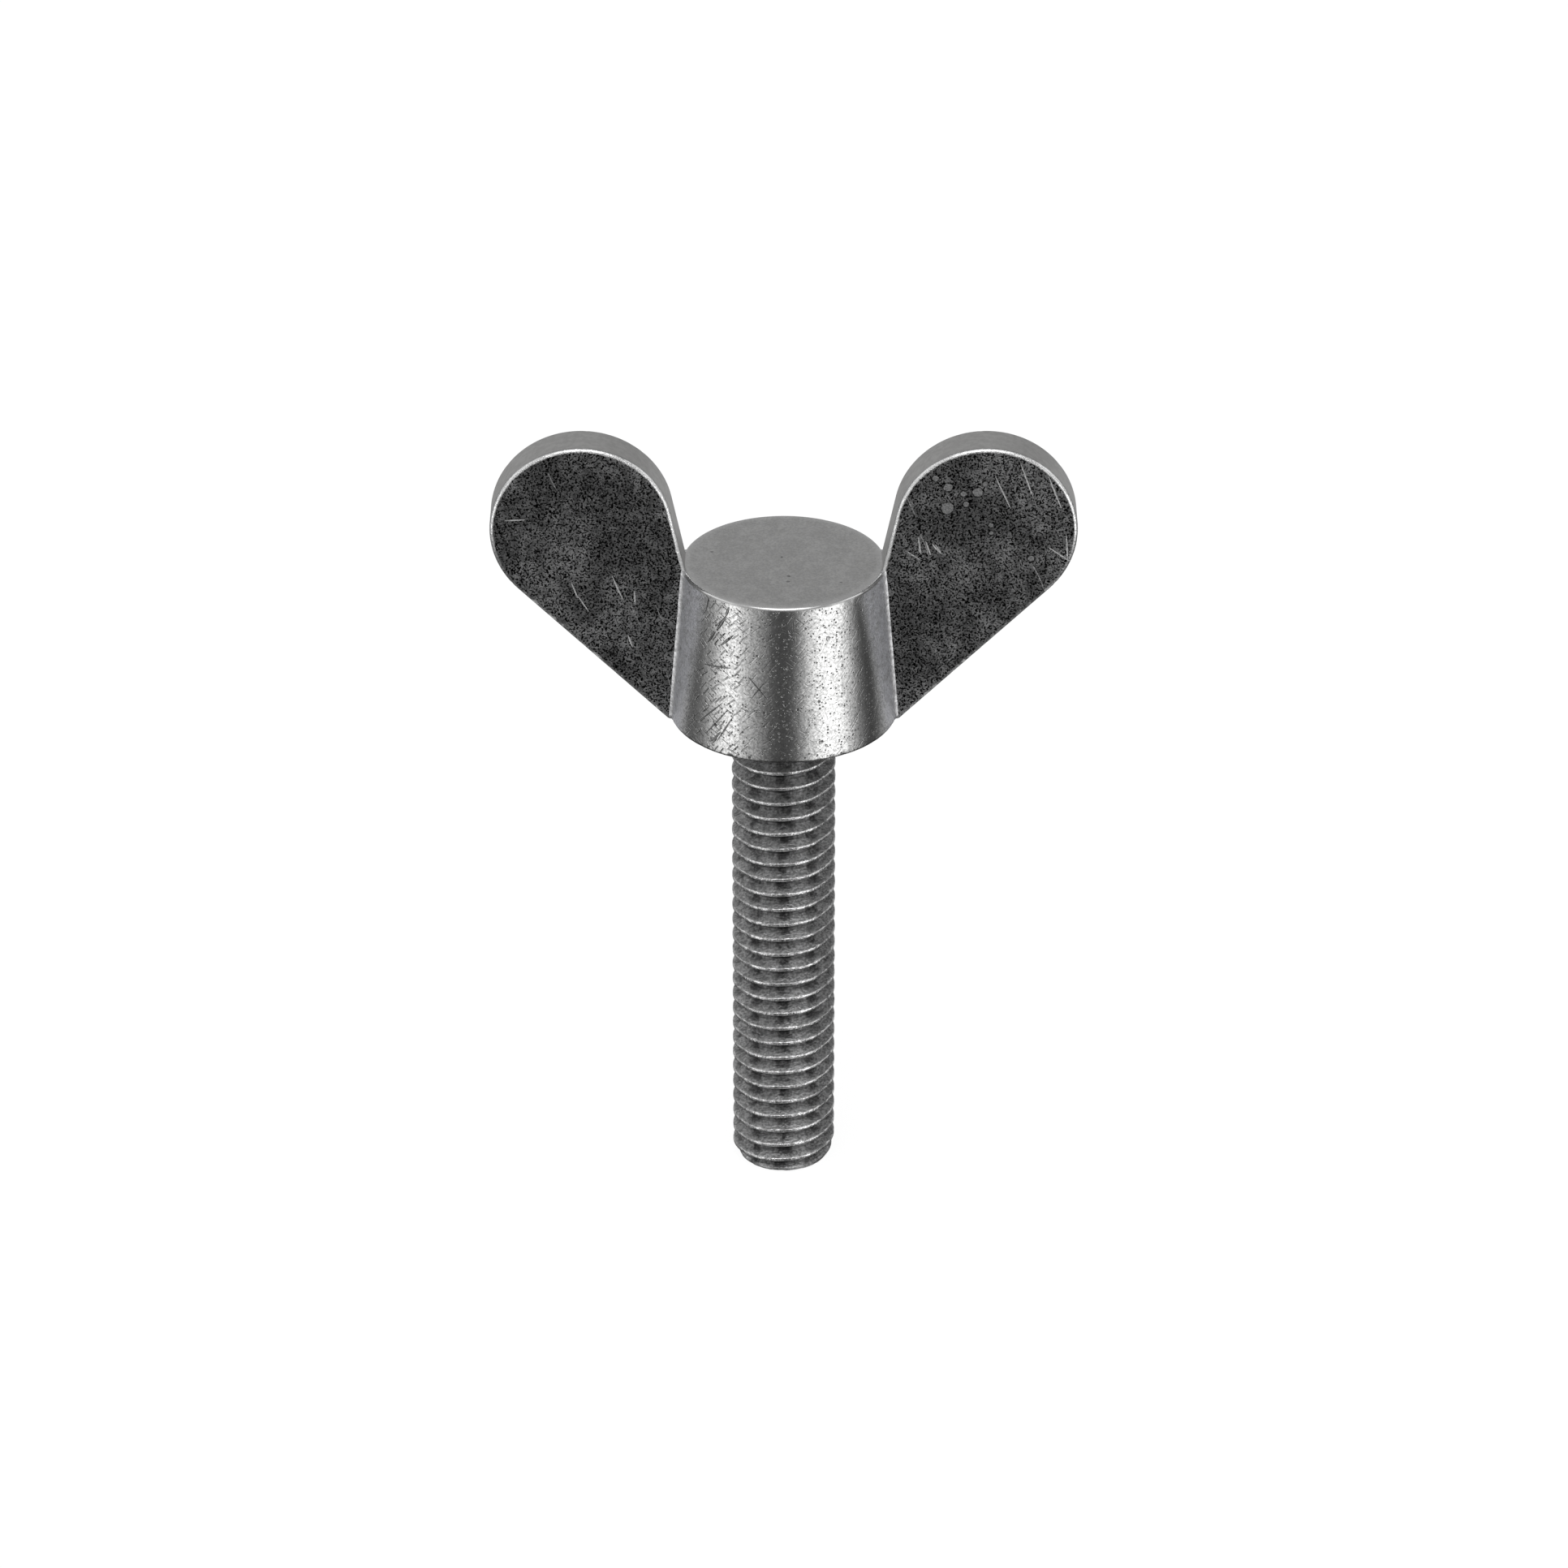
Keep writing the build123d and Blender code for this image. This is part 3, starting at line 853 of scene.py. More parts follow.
def build_hub(hub, finish):
    """The turned hub, its rims a little battered."""
    profile = hub_profile(hub)
    vertices, faces = lathe(profile, HUB_SEGMENTS)
    rim_level = hub.height - hub.top_round
    limit = min(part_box("hub")[1].y, -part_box("hub")[0].y) - 0.001 * MM
    worn, rim = [], []
    for x, y, z in vertices:
        radius = math.hypot(x, y)
        outside = radius > hub.counterbore_radius
        on_rim = radius > hub.top_radius - 1.15 * hub.top_round and z > rim_level
        push = 0.0
        if outside and z < hub.height:
            push = 0.008 * MM * ding((x, y, z), 1.6 * MM, 3.1)
            if on_rim or z < hub.base_round:
                push -= 0.02 * MM * max(0.0, ding((x, y, z), 0.5 * MM, 7.7))
        scale = min(radius + push, limit) / radius if radius else 1.0
        worn.append((x * scale, y * scale, z))
        # rim: a band on the rounded top rim, peaking near its upper edge, which the hub material lightens
        # into a painted highlight line
        level = (z - rim_level) / hub.top_round
        rim.append(max(0.0, 1.0 - abs(level - 0.72) / 0.42) if on_rim else 0.0)
    material = hub_material(finish)
    piece = add_mesh("hub_turned", worn, faces, material, {"rim": rim})
    place_piece(piece, "hub_steel", "hub")


class WingShape:
    """Outline of the right-hand wing in the XZ plane, and where it meets the hub's cone."""

    def __init__(self, hub, wings):
        self.hub = hub
        self.radius = wings.lobe_radius
        self.centre = Vector((wings.span / 2 - self.radius, wings.top - self.radius))
        self.half = wings.thickness / 2
        self.foot = Vector((wings.foot_reach, 0.0))
        self.neck = Vector((hub.top_radius - hub.top_round, hub.height))
        self.low_normal = self.tangent_normal(self.foot, -1)
        self.high_normal = self.tangent_normal(self.neck, 1)

    def tangent_normal(self, start, way):
        """Outward normal of the edge that runs from start to touch the lobe."""
        reach = self.centre - start
        heading = math.atan2(reach.y, reach.x) + way * math.asin(self.radius / reach.length)
        return Vector((-way * math.sin(heading), way * math.cos(heading)))

    def cone_x(self, y, z):
        """X of the hub's side at a given Y and Z."""
        hub = self.hub
        taper = (hub.base_radius - hub.top_radius) / hub.height
        radius = hub.base_radius - taper * z
        return math.sqrt(radius**2 - y**2)

    def meet(self, start, normal, inset, y):
        """Where the inset straight edge through start meets the hub's side."""
        direction = Vector((-normal.y, normal.x))
        if direction.x < 0:
            direction = -direction
        point = start - normal * inset
        for _ in range(12):
            gap = self.cone_x(y, point.y) - point.x
            point = point + direction * (gap / max(direction.x, 0.05))
        return point

    def ring(self, inset, y, edge_steps, arc_steps, root_steps):
        """Closed loop of (x, z) points at one inset from the free edge and one Y."""
        low = self.meet(self.foot, self.low_normal, inset, y)
        high = self.meet(self.neck, self.high_normal, inset, y)
        if high.y > self.hub.height:
            high = Vector((self.neck.x - inset * self.high_normal.x, self.hub.height))
        radius = self.radius - inset
        start = math.atan2(self.low_normal.y, self.low_normal.x)
        end = math.atan2(self.high_normal.y, self.high_normal.x)
        touch_low = self.centre + self.low_normal * radius
        touch_high = self.centre + self.high_normal * radius
        if low.y < 0.0:
            slope = self.low_normal
            corner = self.foot - Vector((inset / slope.x, 0.0))
            low = Vector((self.cone_x(y, 0.0), 0.0))
            points = [tuple(low)] + run(corner, touch_low, edge_steps - 1)
        else:
            points = run(low, touch_low, edge_steps)
        for step in range(arc_steps):
            angle = start + (end - start) * step / arc_steps
            points.append(
                (self.centre.x + radius * math.cos(angle), self.centre.y + radius * math.sin(angle))
            )
        points += run(touch_high, high, edge_steps)
        for step in range(root_steps):
            z = high.y + (low.y - high.y) * step / root_steps
            x = high.x + (low.x - high.x) * step / root_steps
            points.append((min(x, self.cone_x(y, z)) if step else x, z))
        return points


def wing_levels(shape, edge_round):
    """(inset, y, kind) of the rings over a wing's edge, from its front face to its middle."""
    levels = [
        (edge_round + 0.08 * MM, -shape.half, 0.0),
        (edge_round + 0.02 * MM, -shape.half, 0.0),
    ]
    steps = 8
    for step in range(steps + 1):
        angle = math.pi / 2 * step / steps
        inset = edge_round * (1.0 - math.sin(angle))
        y = -shape.half + edge_round * (1.0 - math.cos(angle))
        levels.append((inset, y, 1.0 if step == steps else 0.0))
    levels.append((0.0, -shape.half + 1.1 * edge_round, 1.0))
    levels.append((0.0, -shape.half / 2, 1.0))
    return levels


def build_wing(side, hub, wings, material):
    """One wing plate: dense face grid, softened bevel, root coped to the hub."""
    shape = WingShape(hub, wings)
    edge_steps, arc_steps, root_steps = 40, 120, 28
    front = wing_levels(shape, wings.edge_round)
    levels = front + [(0.0, 0.0, 1.0)] + [(inset, -y, kind) for inset, y, kind in reversed(front)]
    vertices, faces, from_edge, edge_side, edge_down = [], [], [], [], []
    count = 2 * edge_steps + arc_steps + root_steps

    def put(x, z, y, inset, kind):
        vertices.append((x, y, z))
        from_edge.append(inset / MM)
        edge_side.append(kind)
        # edge_down: how far an edge point lies below the wing's spine; the material uses it to paint shade
        # on the lower bevels
        away = Vector((x, z)) - spine((x, z))
        edge_down.append(min(1.0, max(0.0, -2.0 * away.y / max(away.length, 0.001 * MM))))

    def stitch(upper, lower):
        for step in range(count):
            following = (step + 1) % count
            faces.append((upper + step, upper + following, lower + following, lower + step))

    spine_start = Vector((hub.base_radius + 0.5 * MM, 4.2 * MM))
    spine_end = shape.centre

    def spine(point):
        axis = spine_end - spine_start
        along = (Vector(point) - spine_start).dot(axis) / axis.length_squared
        return spine_start + axis * min(1.0, max(0.0, along))

    face_rings = 22
    first = levels[0]
    for face in (FRONT, REAR):
        ring = shape.ring(first[0], first[1], edge_steps, arc_steps, root_steps)
        starts = []
        for level in range(face_rings):
            shrink = 1.0 - level / face_rings
            starts.append(len(vertices))
            for x, z in ring:
                heart = spine((x, z))
                at = heart + (Vector((x, z)) - heart) * shrink
                depth = (Vector((x, z)) - at).length
                wave = 0.006 * MM * ding((at.x, face * 5 * MM, at.y), 2.2 * MM, 1.7)
                fade = min(1.0, depth / (0.6 * MM))
                put(at.x, at.y, face * (shape.half - 0.004 * MM * fade + wave * fade), first[0] + depth, 0.0)
        starts.append(len(vertices))
        for x, z in ring:
            heart = spine((x, z))
            put(heart.x, heart.y, face * (shape.half - 0.004 * MM), 4.0 * MM, 0.0)
        for outer, inner in zip(starts[:-1], starts[1:]):
            if face == FRONT:
                stitch(inner, outer)
            else:
                stitch(outer, inner)
        if face == FRONT:
            front_ring = starts[0]
        else:
            rear_ring = starts[0]
    previous = front_ring
    for inset, y, kind in levels[1:-1]:
        here = len(vertices)
        for x, z in shape.ring(inset, y, edge_steps, arc_steps, root_steps):
            nick = max(0.0, ding((x, y, z), 0.35 * MM, 4.4) - 0.25)
            free = x > hub.base_radius + 0.2 * MM or z > hub.height + 0.3 * MM
            pull = 0.05 * MM * nick if free and kind < 1.0 else 0.0
            outward = (Vector((x, z)) - shape.centre).normalized()
            put(x - outward.x * pull, z - outward.y * pull, y, inset, kind)
        stitch(previous, here)
        previous = here
    stitch(previous, rear_ring)
    vertices = [(side * x, y, z) for x, y, z in vertices]
    if side == RIGHT:
        faces = [tuple(reversed(face)) for face in faces]
    name = "wing_plate_" + SIDE_NAMES[side]
    masks = {"from_edge": from_edge, "edge_side": edge_side, "edge_down": edge_down}
    piece = add_mesh(name, vertices, faces, material, masks)
    weld(piece, 0.0005 * MM)
    place_piece(piece, "wing_steel", "wing_" + SIDE_NAMES[side])


def weld(piece, distance):
    """Merges doubled points and points every face outwards."""
    work = bmesh.new()
    work.from_mesh(piece.data)
    bmesh.ops.remove_doubles(work, verts=work.verts, dist=distance)
    bmesh.ops.dissolve_degenerate(work, edges=work.edges, dist=distance)
    bmesh.ops.recalc_face_normals(work, faces=work.faces)
    work.to_mesh(piece.data)
    work.free()


def build_bead(side, face, hub, wings, material):
    """The braze bead in one corner between a wing face and the hub."""
    shape = WingShape(hub, wings)
    half = shape.half
    steps = 90
    low = 0.03 * MM
    vertices, faces = [], []
    for step in range(steps + 1):
        z = low + (hub.height - low) * step / steps
        wobble = 1.0 + 0.1 * ding((side * 9 * MM, face * 4 * MM, z), 0.8 * MM, 6.0)
        leg = wings.bead * wobble
        corner = shape.cone_x(half, z)
        rise = corner + 0.97 * z + 0.02 * MM
        toe_x = min(corner + leg, rise)
        hub_y = half + leg
        hub_x = shape.cone_x(hub_y, z)
        in_rim = z > hub.height - hub.top_round
        heel = hub.top_radius - 1.2 * hub.top_round if in_rim else hub_x - 0.1 * MM
        heel = min(heel, hub_x - 0.1 * MM)
        section = [(toe_x, half)]
        for part in (0.25, 0.5, 0.75):
            sag = 0.1 * leg * math.sin(math.pi * part)
            section.append(
                (
                    toe_x + (hub_x - toe_x) * part - 0.7 * sag,
                    half + (hub_y - half) * part - 0.7 * sag,
                )
            )
        section += [(hub_x, hub_y), (heel, hub_y), (heel, half - 0.02 * MM), (toe_x, half - 0.02 * MM)]
        vertices += [(side * x, face * y, z) for x, y in section]
    count = 8
    for step in range(steps):
        for part in range(count):
            following = (part + 1) % count
            here = step * count
            faces.append((here + part, here + following, here + count + following, here + count + part))
    faces.append(tuple(range(count)))
    faces.append(tuple(range(steps * count, (steps + 1) * count)))
    label = FACE_NAMES[face] + "_" + SIDE_NAMES[side]
    piece = add_mesh("braze_bead_" + label, vertices, faces, material)
    weld(piece, 0.0005 * MM)
    piece.data.set_sharp_from_angle(angle=math.radians(40))
    place_piece(piece, "braze_alloy", "braze_fillet_" + label)


def build_ring(hub, stud, material):
    """The braze ring in the counterbore round the stud's neck."""
    inner, outer = stud.major_radius - 0.2 * MM, hub.counterbore_radius
    top = hub.counterbore_depth
    free = 0.12 * MM
    profile = [(inner, top), (outer, top), (outer, free)]
    for step in range(1, 12):
        part = step / 12
        profile.append((outer + (inner - outer) * part, free + 0.08 * MM * math.sin(math.pi * part)))
    profile.append((inner, free))
    segments = RING_SEGMENTS
    vertices, faces = [], []
    for radius, height in profile:
        for step in range(segments):
            angle = 2 * math.pi * step / segments
            x, y = radius * math.cos(angle), radius * math.sin(angle)
            lift = 0.02 * MM * ding((x, y, 0.0), 1.1 * MM, 9.0) if height < top else 0.0
            vertices.append((x, y, height + lift))
    count = len(profile)
    for ring in range(count):
        here, below = ring * segments, ((ring + 1) % count) * segments
        for step in range(segments):
            following = (step + 1) % segments
            faces.append((here + step, below + step, below + following, here + following))
    piece = add_mesh("braze_ring_seated", vertices, faces, material)
    weld(piece, 0.0005 * MM)
    piece.data.set_sharp_from_angle(angle=math.radians(40))
    place_piece(piece, "braze_alloy", "braze_ring")


# ---------------------------------------------------------------- thread


THREAD_POINTS = [
    # (share of a pitch, share of the thread's depth)
    (0.0, 0.0),
    (0.09, 0.0),
    (0.135, 0.035),
    (0.18, 0.11),
    (0.26, 0.36),
    (0.34, 0.61),
    (0.42, 0.86),
    (0.45, 0.955),
    (0.463, 0.988),
    (0.478, 1.0),
    (0.545, 1.0),
    (0.612, 1.0),
    (0.627, 0.988),
    (0.64, 0.955),
    (0.67, 0.86),
    (0.75, 0.61),
    (0.83, 0.36),
    (0.91, 0.11),
    (0.955, 0.035),
    (1.0, 0.0),
]


def thread_tree(material):
    """Geometry Nodes that wrap a ribbon one pitch wide along a helix into a threaded bar."""
    tree, web, given, out = new_group(
        "Rolled thread",
        [
            ("Geometry", "OUTPUT", "NodeSocketGeometry", None),
            ("Crest radius", "INPUT", "NodeSocketFloat", 2.98 * MM),
            ("Root radius", "INPUT", "NodeSocketFloat", 2.42 * MM),
            ("Pitch", "INPUT", "NodeSocketFloat", 1.0 * MM),
            ("Length", "INPUT", "NodeSocketFloat", 29.8 * MM),
            ("Collar", "INPUT", "NodeSocketFloat", 0.8 * MM),
            ("Tip radius", "INPUT", "NodeSocketFloat", 2.6 * MM),
            ("Tip taper", "INPUT", "NodeSocketFloat", 0.35 * MM),
            ("Steps", "INPUT", "NodeSocketInt", 112),
            ("Turns", "INPUT", "NodeSocketInt", 35),
            ("Start angle", "INPUT", "NodeSocketFloat", 0.0),
            ("Start height", "INPUT", "NodeSocketFloat", -32.0 * MM),
            ("Nicks", "INPUT", "NodeSocketFloat", 0.05 * MM),
            ("Seed", "INPUT", "NodeSocketFloat", 4.0),
        ],
        kind="GeometryNodeTree",
    )
    rows = len(THREAD_POINTS)
    columns = web.maths("ADD", web.maths("MULTIPLY", given["Steps"], given["Turns"]), 1.0)
    grid = web.add("GeometryNodeMeshGrid", {"Vertices X": columns, "Vertices Y": rows})
    index = web.add("GeometryNodeInputIndex").outputs[0]
    column = web.maths("FLOOR", web.maths("DIVIDE", web.maths("ADD", index, 0.5), float(rows)))
    row = web.maths("SUBTRACT", index, web.maths("MULTIPLY", column, float(rows)))
    turn = web.maths("DIVIDE", column, given["Steps"])
    share = web.maths("DIVIDE", row, float(rows - 1))

    def profile_curve(values):
        node = web.add("ShaderNodeFloatCurve", {"Value": share})
        curve = node.mapping.curves[0]
        while len(curve.points) > 2:
            curve.points.remove(curve.points[1])
        curve.points[0].location = (0.0, values[0])
        curve.points[-1].location = (1.0, values[-1])
        for place, value in enumerate(values[1:-1], start=1):
            curve.points.new(place / (len(values) - 1), value)
        for point in curve.points:
            point.handle_type = "VECTOR"
        node.mapping.update()
        return node.outputs[0]

    step_up = profile_curve([point[0] for point in THREAD_POINTS])
    depth = profile_curve([point[1] for point in THREAD_POINTS])
    angle = web.maths("ADD", web.maths("MULTIPLY", turn, 2 * math.pi), given["Start angle"])
    climb = web.maths("MULTIPLY", web.maths("ADD", turn, step_up), given["Pitch"])
    raw = web.maths("ADD", climb, given["Start height"])
    cosine, sine = web.maths("COSINE", angle), web.maths("SINE", angle)
    fade_start = web.maths("MULTIPLY", given["Collar"], -1.0)
    fade_low = web.maths("SUBTRACT", fade_start, web.maths("MULTIPLY", given["Pitch"], 0.45))
    full = web.ramp(raw, fade_low, fade_start)
    depth = web.maths("MAXIMUM", depth, full)
    radius = web.between(depth, given["Root radius"], given["Crest radius"])
    where = web.join(web.maths("MULTIPLY", cosine, radius), web.maths("MULTIPLY", sine, radius), raw)
    in_mm = web.vector("SCALE", where, scale=1.0 / MM)
    shifted = web.vector("ADD", in_mm, web.join(given["Seed"], 0.0, 0.0))
    stretched = web.vector("MULTIPLY", shifted, (2.6, 2.6, 1.1))
    knocks = web.ramp(web.grain(stretched, 1.0, detail=2.0, roughness=0.6), 0.6, 0.78)
    knocks = web.maths("MULTIPLY", web.maths("MULTIPLY", knocks, depth), given["Nicks"])
    radius = web.maths("SUBTRACT", radius, knocks)
    end = web.maths("MULTIPLY", given["Length"], -1.0)
    above_end = web.maths("SUBTRACT", raw, end)
    cone = web.maths("DIVIDE", above_end, given["Tip taper"])
    spread = web.maths("SUBTRACT", given["Crest radius"], given["Tip radius"])
    allowed = web.maths("ADD", given["Tip radius"], web.maths("MULTIPLY", cone, spread))
    beyond = web.maths("MAXIMUM", web.maths("MULTIPLY", above_end, -1.0), 0.0)
    disc = web.maths("SUBTRACT", given["Tip radius"], web.maths("MULTIPLY", beyond, 3.0))
    allowed = web.between(web.maths("LESS_THAN", raw, end), allowed, disc)
    radius = web.maths("MINIMUM", radius, web.maths("MAXIMUM", allowed, 0.0))
    over = web.maths("MAXIMUM", raw, 0.0)
    closing = web.maths("SUBTRACT", given["Crest radius"], web.maths("MULTIPLY", over, 3.0))
    radius = web.maths("MINIMUM", radius, web.maths("MAXIMUM", closing, 0.0))
    height = web.maths("MINIMUM", web.maths("MAXIMUM", raw, end), 0.0)
    place = web.join(web.maths("MULTIPLY", cosine, radius), web.maths("MULTIPLY", sine, radius), height)
    moved = web.add("GeometryNodeSetPosition", {"Geometry": grid.outputs["Mesh"], "Position": place})
    stored = web.add(
        "GeometryNodeStoreNamedAttribute",
        {"Geometry": moved.outputs[0], "Name": "crest", "Value": depth},
        data_type="FLOAT",
        domain="POINT",
    )
    merged = web.add(
        "GeometryNodeMergeByDistance",
        {"Geometry": stored.outputs[0], "Distance": 0.0008 * MM},
    )
    smooth = web.add("GeometryNodeSetShadeSmooth", {"Geometry": merged.outputs[0], "Shade Smooth": True})
    real = web.add("GeometryNodeRealizeInstances", {"Geometry": smooth.outputs[0]})
    painted = web.add("GeometryNodeSetMaterial", {"Geometry": real.outputs[0], "Material": material})
    web.feed(out["Geometry"], painted.outputs[0])
    return tree


def socket_id(tree, name):
    """Identifier of a group's input, which a modifier needs in place of its name."""
    return next(item.identifier for item in tree.interface.items_tree if item.name == name)


def build_stud(stud, finish):
    """The threaded stud, grown by Geometry Nodes and joined to its plain spigot."""
    material = stud_material(finish)
    tree = thread_tree(material)
    carrier = bpy.data.objects.new("stud_carrier", bpy.data.meshes.new("stud_carrier"))
    bpy.context.scene.collection.objects.link(carrier)
    modifier = carrier.modifiers.new("Rolled thread", "NODES")
    modifier.node_group = tree
    turns = math.ceil(stud.reach / stud.pitch) + 5
    start_height = -stud.reach - 3.0 * stud.pitch
    crest_share = 0.545
    crest_height = -3.91 * MM
    lift = (crest_height - start_height) / stud.pitch - crest_share
    start_angle = math.pi - 2 * math.pi * (lift - math.floor(lift))
    values = {
        "Crest radius": stud.major_radius,
        "Root radius": stud.root_radius,
        "Pitch": stud.pitch,
        "Length": stud.reach,
        "Collar": stud.collar,
        "Tip radius": stud.tip_radius,
        "Tip taper": stud.tip_taper,
        "Steps": stud.steps,
        "Turns": turns,
        "Start angle": start_angle,
        "Start height": start_height,
    }
    for name, value in values.items():
        modifier[socket_id(tree, name)] = value
    bpy.context.view_layer.update()
    graph = bpy.context.evaluated_depsgraph_get()
    mesh = bpy.data.meshes.new_from_object(carrier.evaluated_get(graph))
    bpy.data.objects.remove(carrier)
    if len(mesh.vertices) < 1000:
        raise RuntimeError("the thread's node tree made no mesh")
    mesh.name = "stud_threaded"
    piece = bpy.data.objects.new("stud_threaded", mesh)
    bpy.context.scene.collection.objects.link(piece)
    weld(piece, 0.0008 * MM)
    place_piece(piece, "stud_steel", "threaded_stud")
    build_spigot(stud, material)


def build_spigot(stud, material):
    """The plain spigot and neck of the stud, inside the hub."""
    neck = stud.major_radius - 0.2 * MM
    slope = 0.4 * MM
    profile = [
        (0.0, stud.spigot_top),
        (stud.spigot_radius - slope, stud.spigot_top),
        (stud.spigot_radius, stud.spigot_top - slope),
        (stud.spigot_radius, 0.5 * MM),
        (neck, 0.5 * MM),
        (neck, 0.1 * MM),
        (stud.major_radius - 0.1 * MM, 0.01 * MM),
        (0.0, 0.01 * MM),
    ]
    vertices, faces = lathe(profile, SPIGOT_SEGMENTS)
    piece = add_mesh("stud_spigot", vertices, faces, material, {"crest": [0.6] * len(vertices)})
    piece.data.set_sharp_from_angle(angle=math.radians(30))
    place_piece(piece, "stud_steel", "threaded_stud")


# ---------------------------------------------------------------- stage


SIDE_BANDS = [
    # (bearing from the front in degrees, brightness) of what stands round the screw
    (-180, 0.38),
    (-140, 0.38),
    (-122, 0.36),
    (-108, 0.14),
    (-96, 0.15),
    (-86, 0.36),
    (-76, 0.68),
    (-68, 1.08),
    (-60, 1.42),
    (-52, 1.5),
    (-44, 0.95),
    (-36, 0.6),
    (-28, 0.46),
    (-20, 0.28),
    (-12, 0.1),
    (0, 0.07),
    (8, 0.1),
    (14, 0.22),
    (20, 0.48),
    (27, 0.95),
    (36, 1.5),
    (46, 1.8),
    (58, 1.72),
    (67, 1.15),
    (75, 0.58),
    (84, 0.2),
    (93, 0.08),
    (104, 0.06),
    (116, 0.3),
    (130, 0.5),
    (150, 0.42),
]


def build_world():
    """Soft studio surroundings: two tall soft boxes, one overhead, and grey between them."""
    world = bpy.data.worlds.new("soft_studio")
    bpy.context.scene.world = world
    world.use_nodes = True
    world.node_tree.nodes.clear()
    web = Web(world.node_tree)
    direction = web.add("ShaderNodeTexCoord").outputs["Generated"]
    x, y, z = web.split(direction)
    bearing = web.maths("ARCTAN2", x, web.maths("MULTIPLY", y, -1.0))
    share = web.maths("ADD", web.maths("DIVIDE", bearing, 2 * math.pi), 0.5)
    bands = web.add("ShaderNodeValToRGB", {"Fac": share})
    ramp = bands.color_ramp
    ramp.interpolation = "EASE"
    while len(ramp.elements) < len(SIDE_BANDS):
        ramp.elements.new(0.5)
    for element, (degrees, level) in zip(ramp.elements, SIDE_BANDS):
        element.position = degrees / 360 + 0.5
        element.color = (level, level, level, 1.0)
    sides = bands.outputs["Color"]
    high = web.blend(web.ramp(x, 0.15, 0.6), (0.4, 0.4, 0.4), (0.28, 0.28, 0.28))
    flanks = web.maths("MULTIPLY", web.ramp(web.maths("ABSOLUTE", x), 0.62, 0.8), web.ramp(z, 0.12, 0.3))
    high = web.blend(flanks, high, (0.85, 0.85, 0.85))
    upper = web.blend(web.ramp(z, -0.1, 0.14), sides, high)
    ground = web.ramp(z, -0.72, -0.9)
    below = web.blend(ground, (0.06, 0.06, 0.06), (0.42, 0.42, 0.42))
    lower = web.blend(web.ramp(z, -0.48, -0.58), upper, below)
    lamp_way = Vector((0.0, -math.cos(math.radians(52)), math.sin(math.radians(52))))
    towards = web.add("ShaderNodeVectorMath", operation="DOT_PRODUCT")
    web.feed(towards.inputs[0], direction)
    web.feed(towards.inputs[1], tuple(lamp_way))
    overhead = web.ramp(towards.outputs["Value"], 0.88, 0.96)
    seen = web.blend(overhead, lower, (2.3, 2.3, 2.3))
    camera_ray = web.add("ShaderNodeLightPath").outputs["Is Camera Ray"]
    backing = web.blend(camera_ray, seen, (0.96, 0.96, 0.96))
    background = web.add("ShaderNodeBackground", {"Color": backing, "Strength": 1.0})
    output = web.add("ShaderNodeOutputWorld")
    web.feed(output.inputs["Surface"], background.outputs[0])


def build_floor(finish):
    """A wide pale floor under the stud's end, seen through from below."""
    half = 6.0
    level = -STUD_END - 0.02 * MM
    corners = [(-half, -half, level), (half, -half, level), (half, half, level), (-half, half, level)]
    material = bpy.data.materials.new("pale_floor")
    material.use_nodes = True
    web = Web(material.node_tree)
    nodes = material.node_tree.nodes
    shader = nodes["Principled BSDF"]
    shader.inputs["Roughness"].default_value = 0.9
    shader.inputs["Specular IOR Level"].default_value = 0.0
    shader.inputs["Base Color"].default_value = (0.12, 0.12, 0.12, 1.0)
    web.feed(shader.inputs["Emission Color"], tuple(finish.floor))
    shader.inputs["Emission Strength"].default_value = 1.0
    clear = web.add("ShaderNodeBsdfTransparent")
    behind = web.add("ShaderNodeNewGeometry").outputs["Backfacing"]
    mix = web.add("ShaderNodeMixShader")
    web.feed(mix.inputs[0], behind)
    web.feed(mix.inputs[1], shader.outputs[0])
    web.feed(mix.inputs[2], clear.outputs[0])
    web.feed(nodes["Material Output"].inputs["Surface"], mix.outputs[0])
    floor = add_mesh("floor", corners, [(0, 1, 2, 3)], material)
    floor.visible_glossy = False


def build_lamp():
    """One large soft lamp overhead, for a faint even shadow."""
    data = bpy.data.lights.new("soft_overhead", "AREA")
    data.shape = "DISK"
    data.size = 0.5
    data.energy = 0.6
    lamp = bpy.data.objects.new("soft_overhead", data)
    lamp.location = (-0.1, -0.12, 0.6)
    lamp.rotation_mode = "QUATERNION"
    lamp.rotation_quaternion = Vector(lamp.location).to_track_quat("Z", "Y")
    lamp.visible_glossy = False
    bpy.context.scene.collection.objects.link(lamp)


def build_camera(stage):
    """The camera, looking down at the screw from the front."""
    data = bpy.data.cameras.new("camera")
    data.lens = stage.lens
    data.sensor_width = 36.0
    data.clip_start = 0.01
    data.clip_end = 50.0
    camera = bpy.data.objects.new("camera", data)
    aim = Vector((0.02 * MM, 0.0, -stage.look_down))
    back = Vector((0.0, -math.cos(stage.elevation), math.sin(stage.elevation)))
    camera.location = aim + back * stage.distance
    camera.rotation_mode = "QUATERNION"
    camera.rotation_quaternion = back.to_track_quat("Z", "Y")
    bpy.context.scene.collection.objects.link(camera)
    bpy.context.scene.camera = camera
    bpy.context.scene.view_settings.view_transform = "Standard"


# ---------------------------------------------------------------- operators


class WINGSCREW_OT_hub(bpy.types.Operator):
    """Build the turned hub"""

    bl_idname = "wing_screw.hub"
    bl_label = "Hub"

    def execute(self, context):
        scene = context.scene
        build_hub(scene.wing_screw_hub, scene.wing_screw_finish)
        return {"FINISHED"}


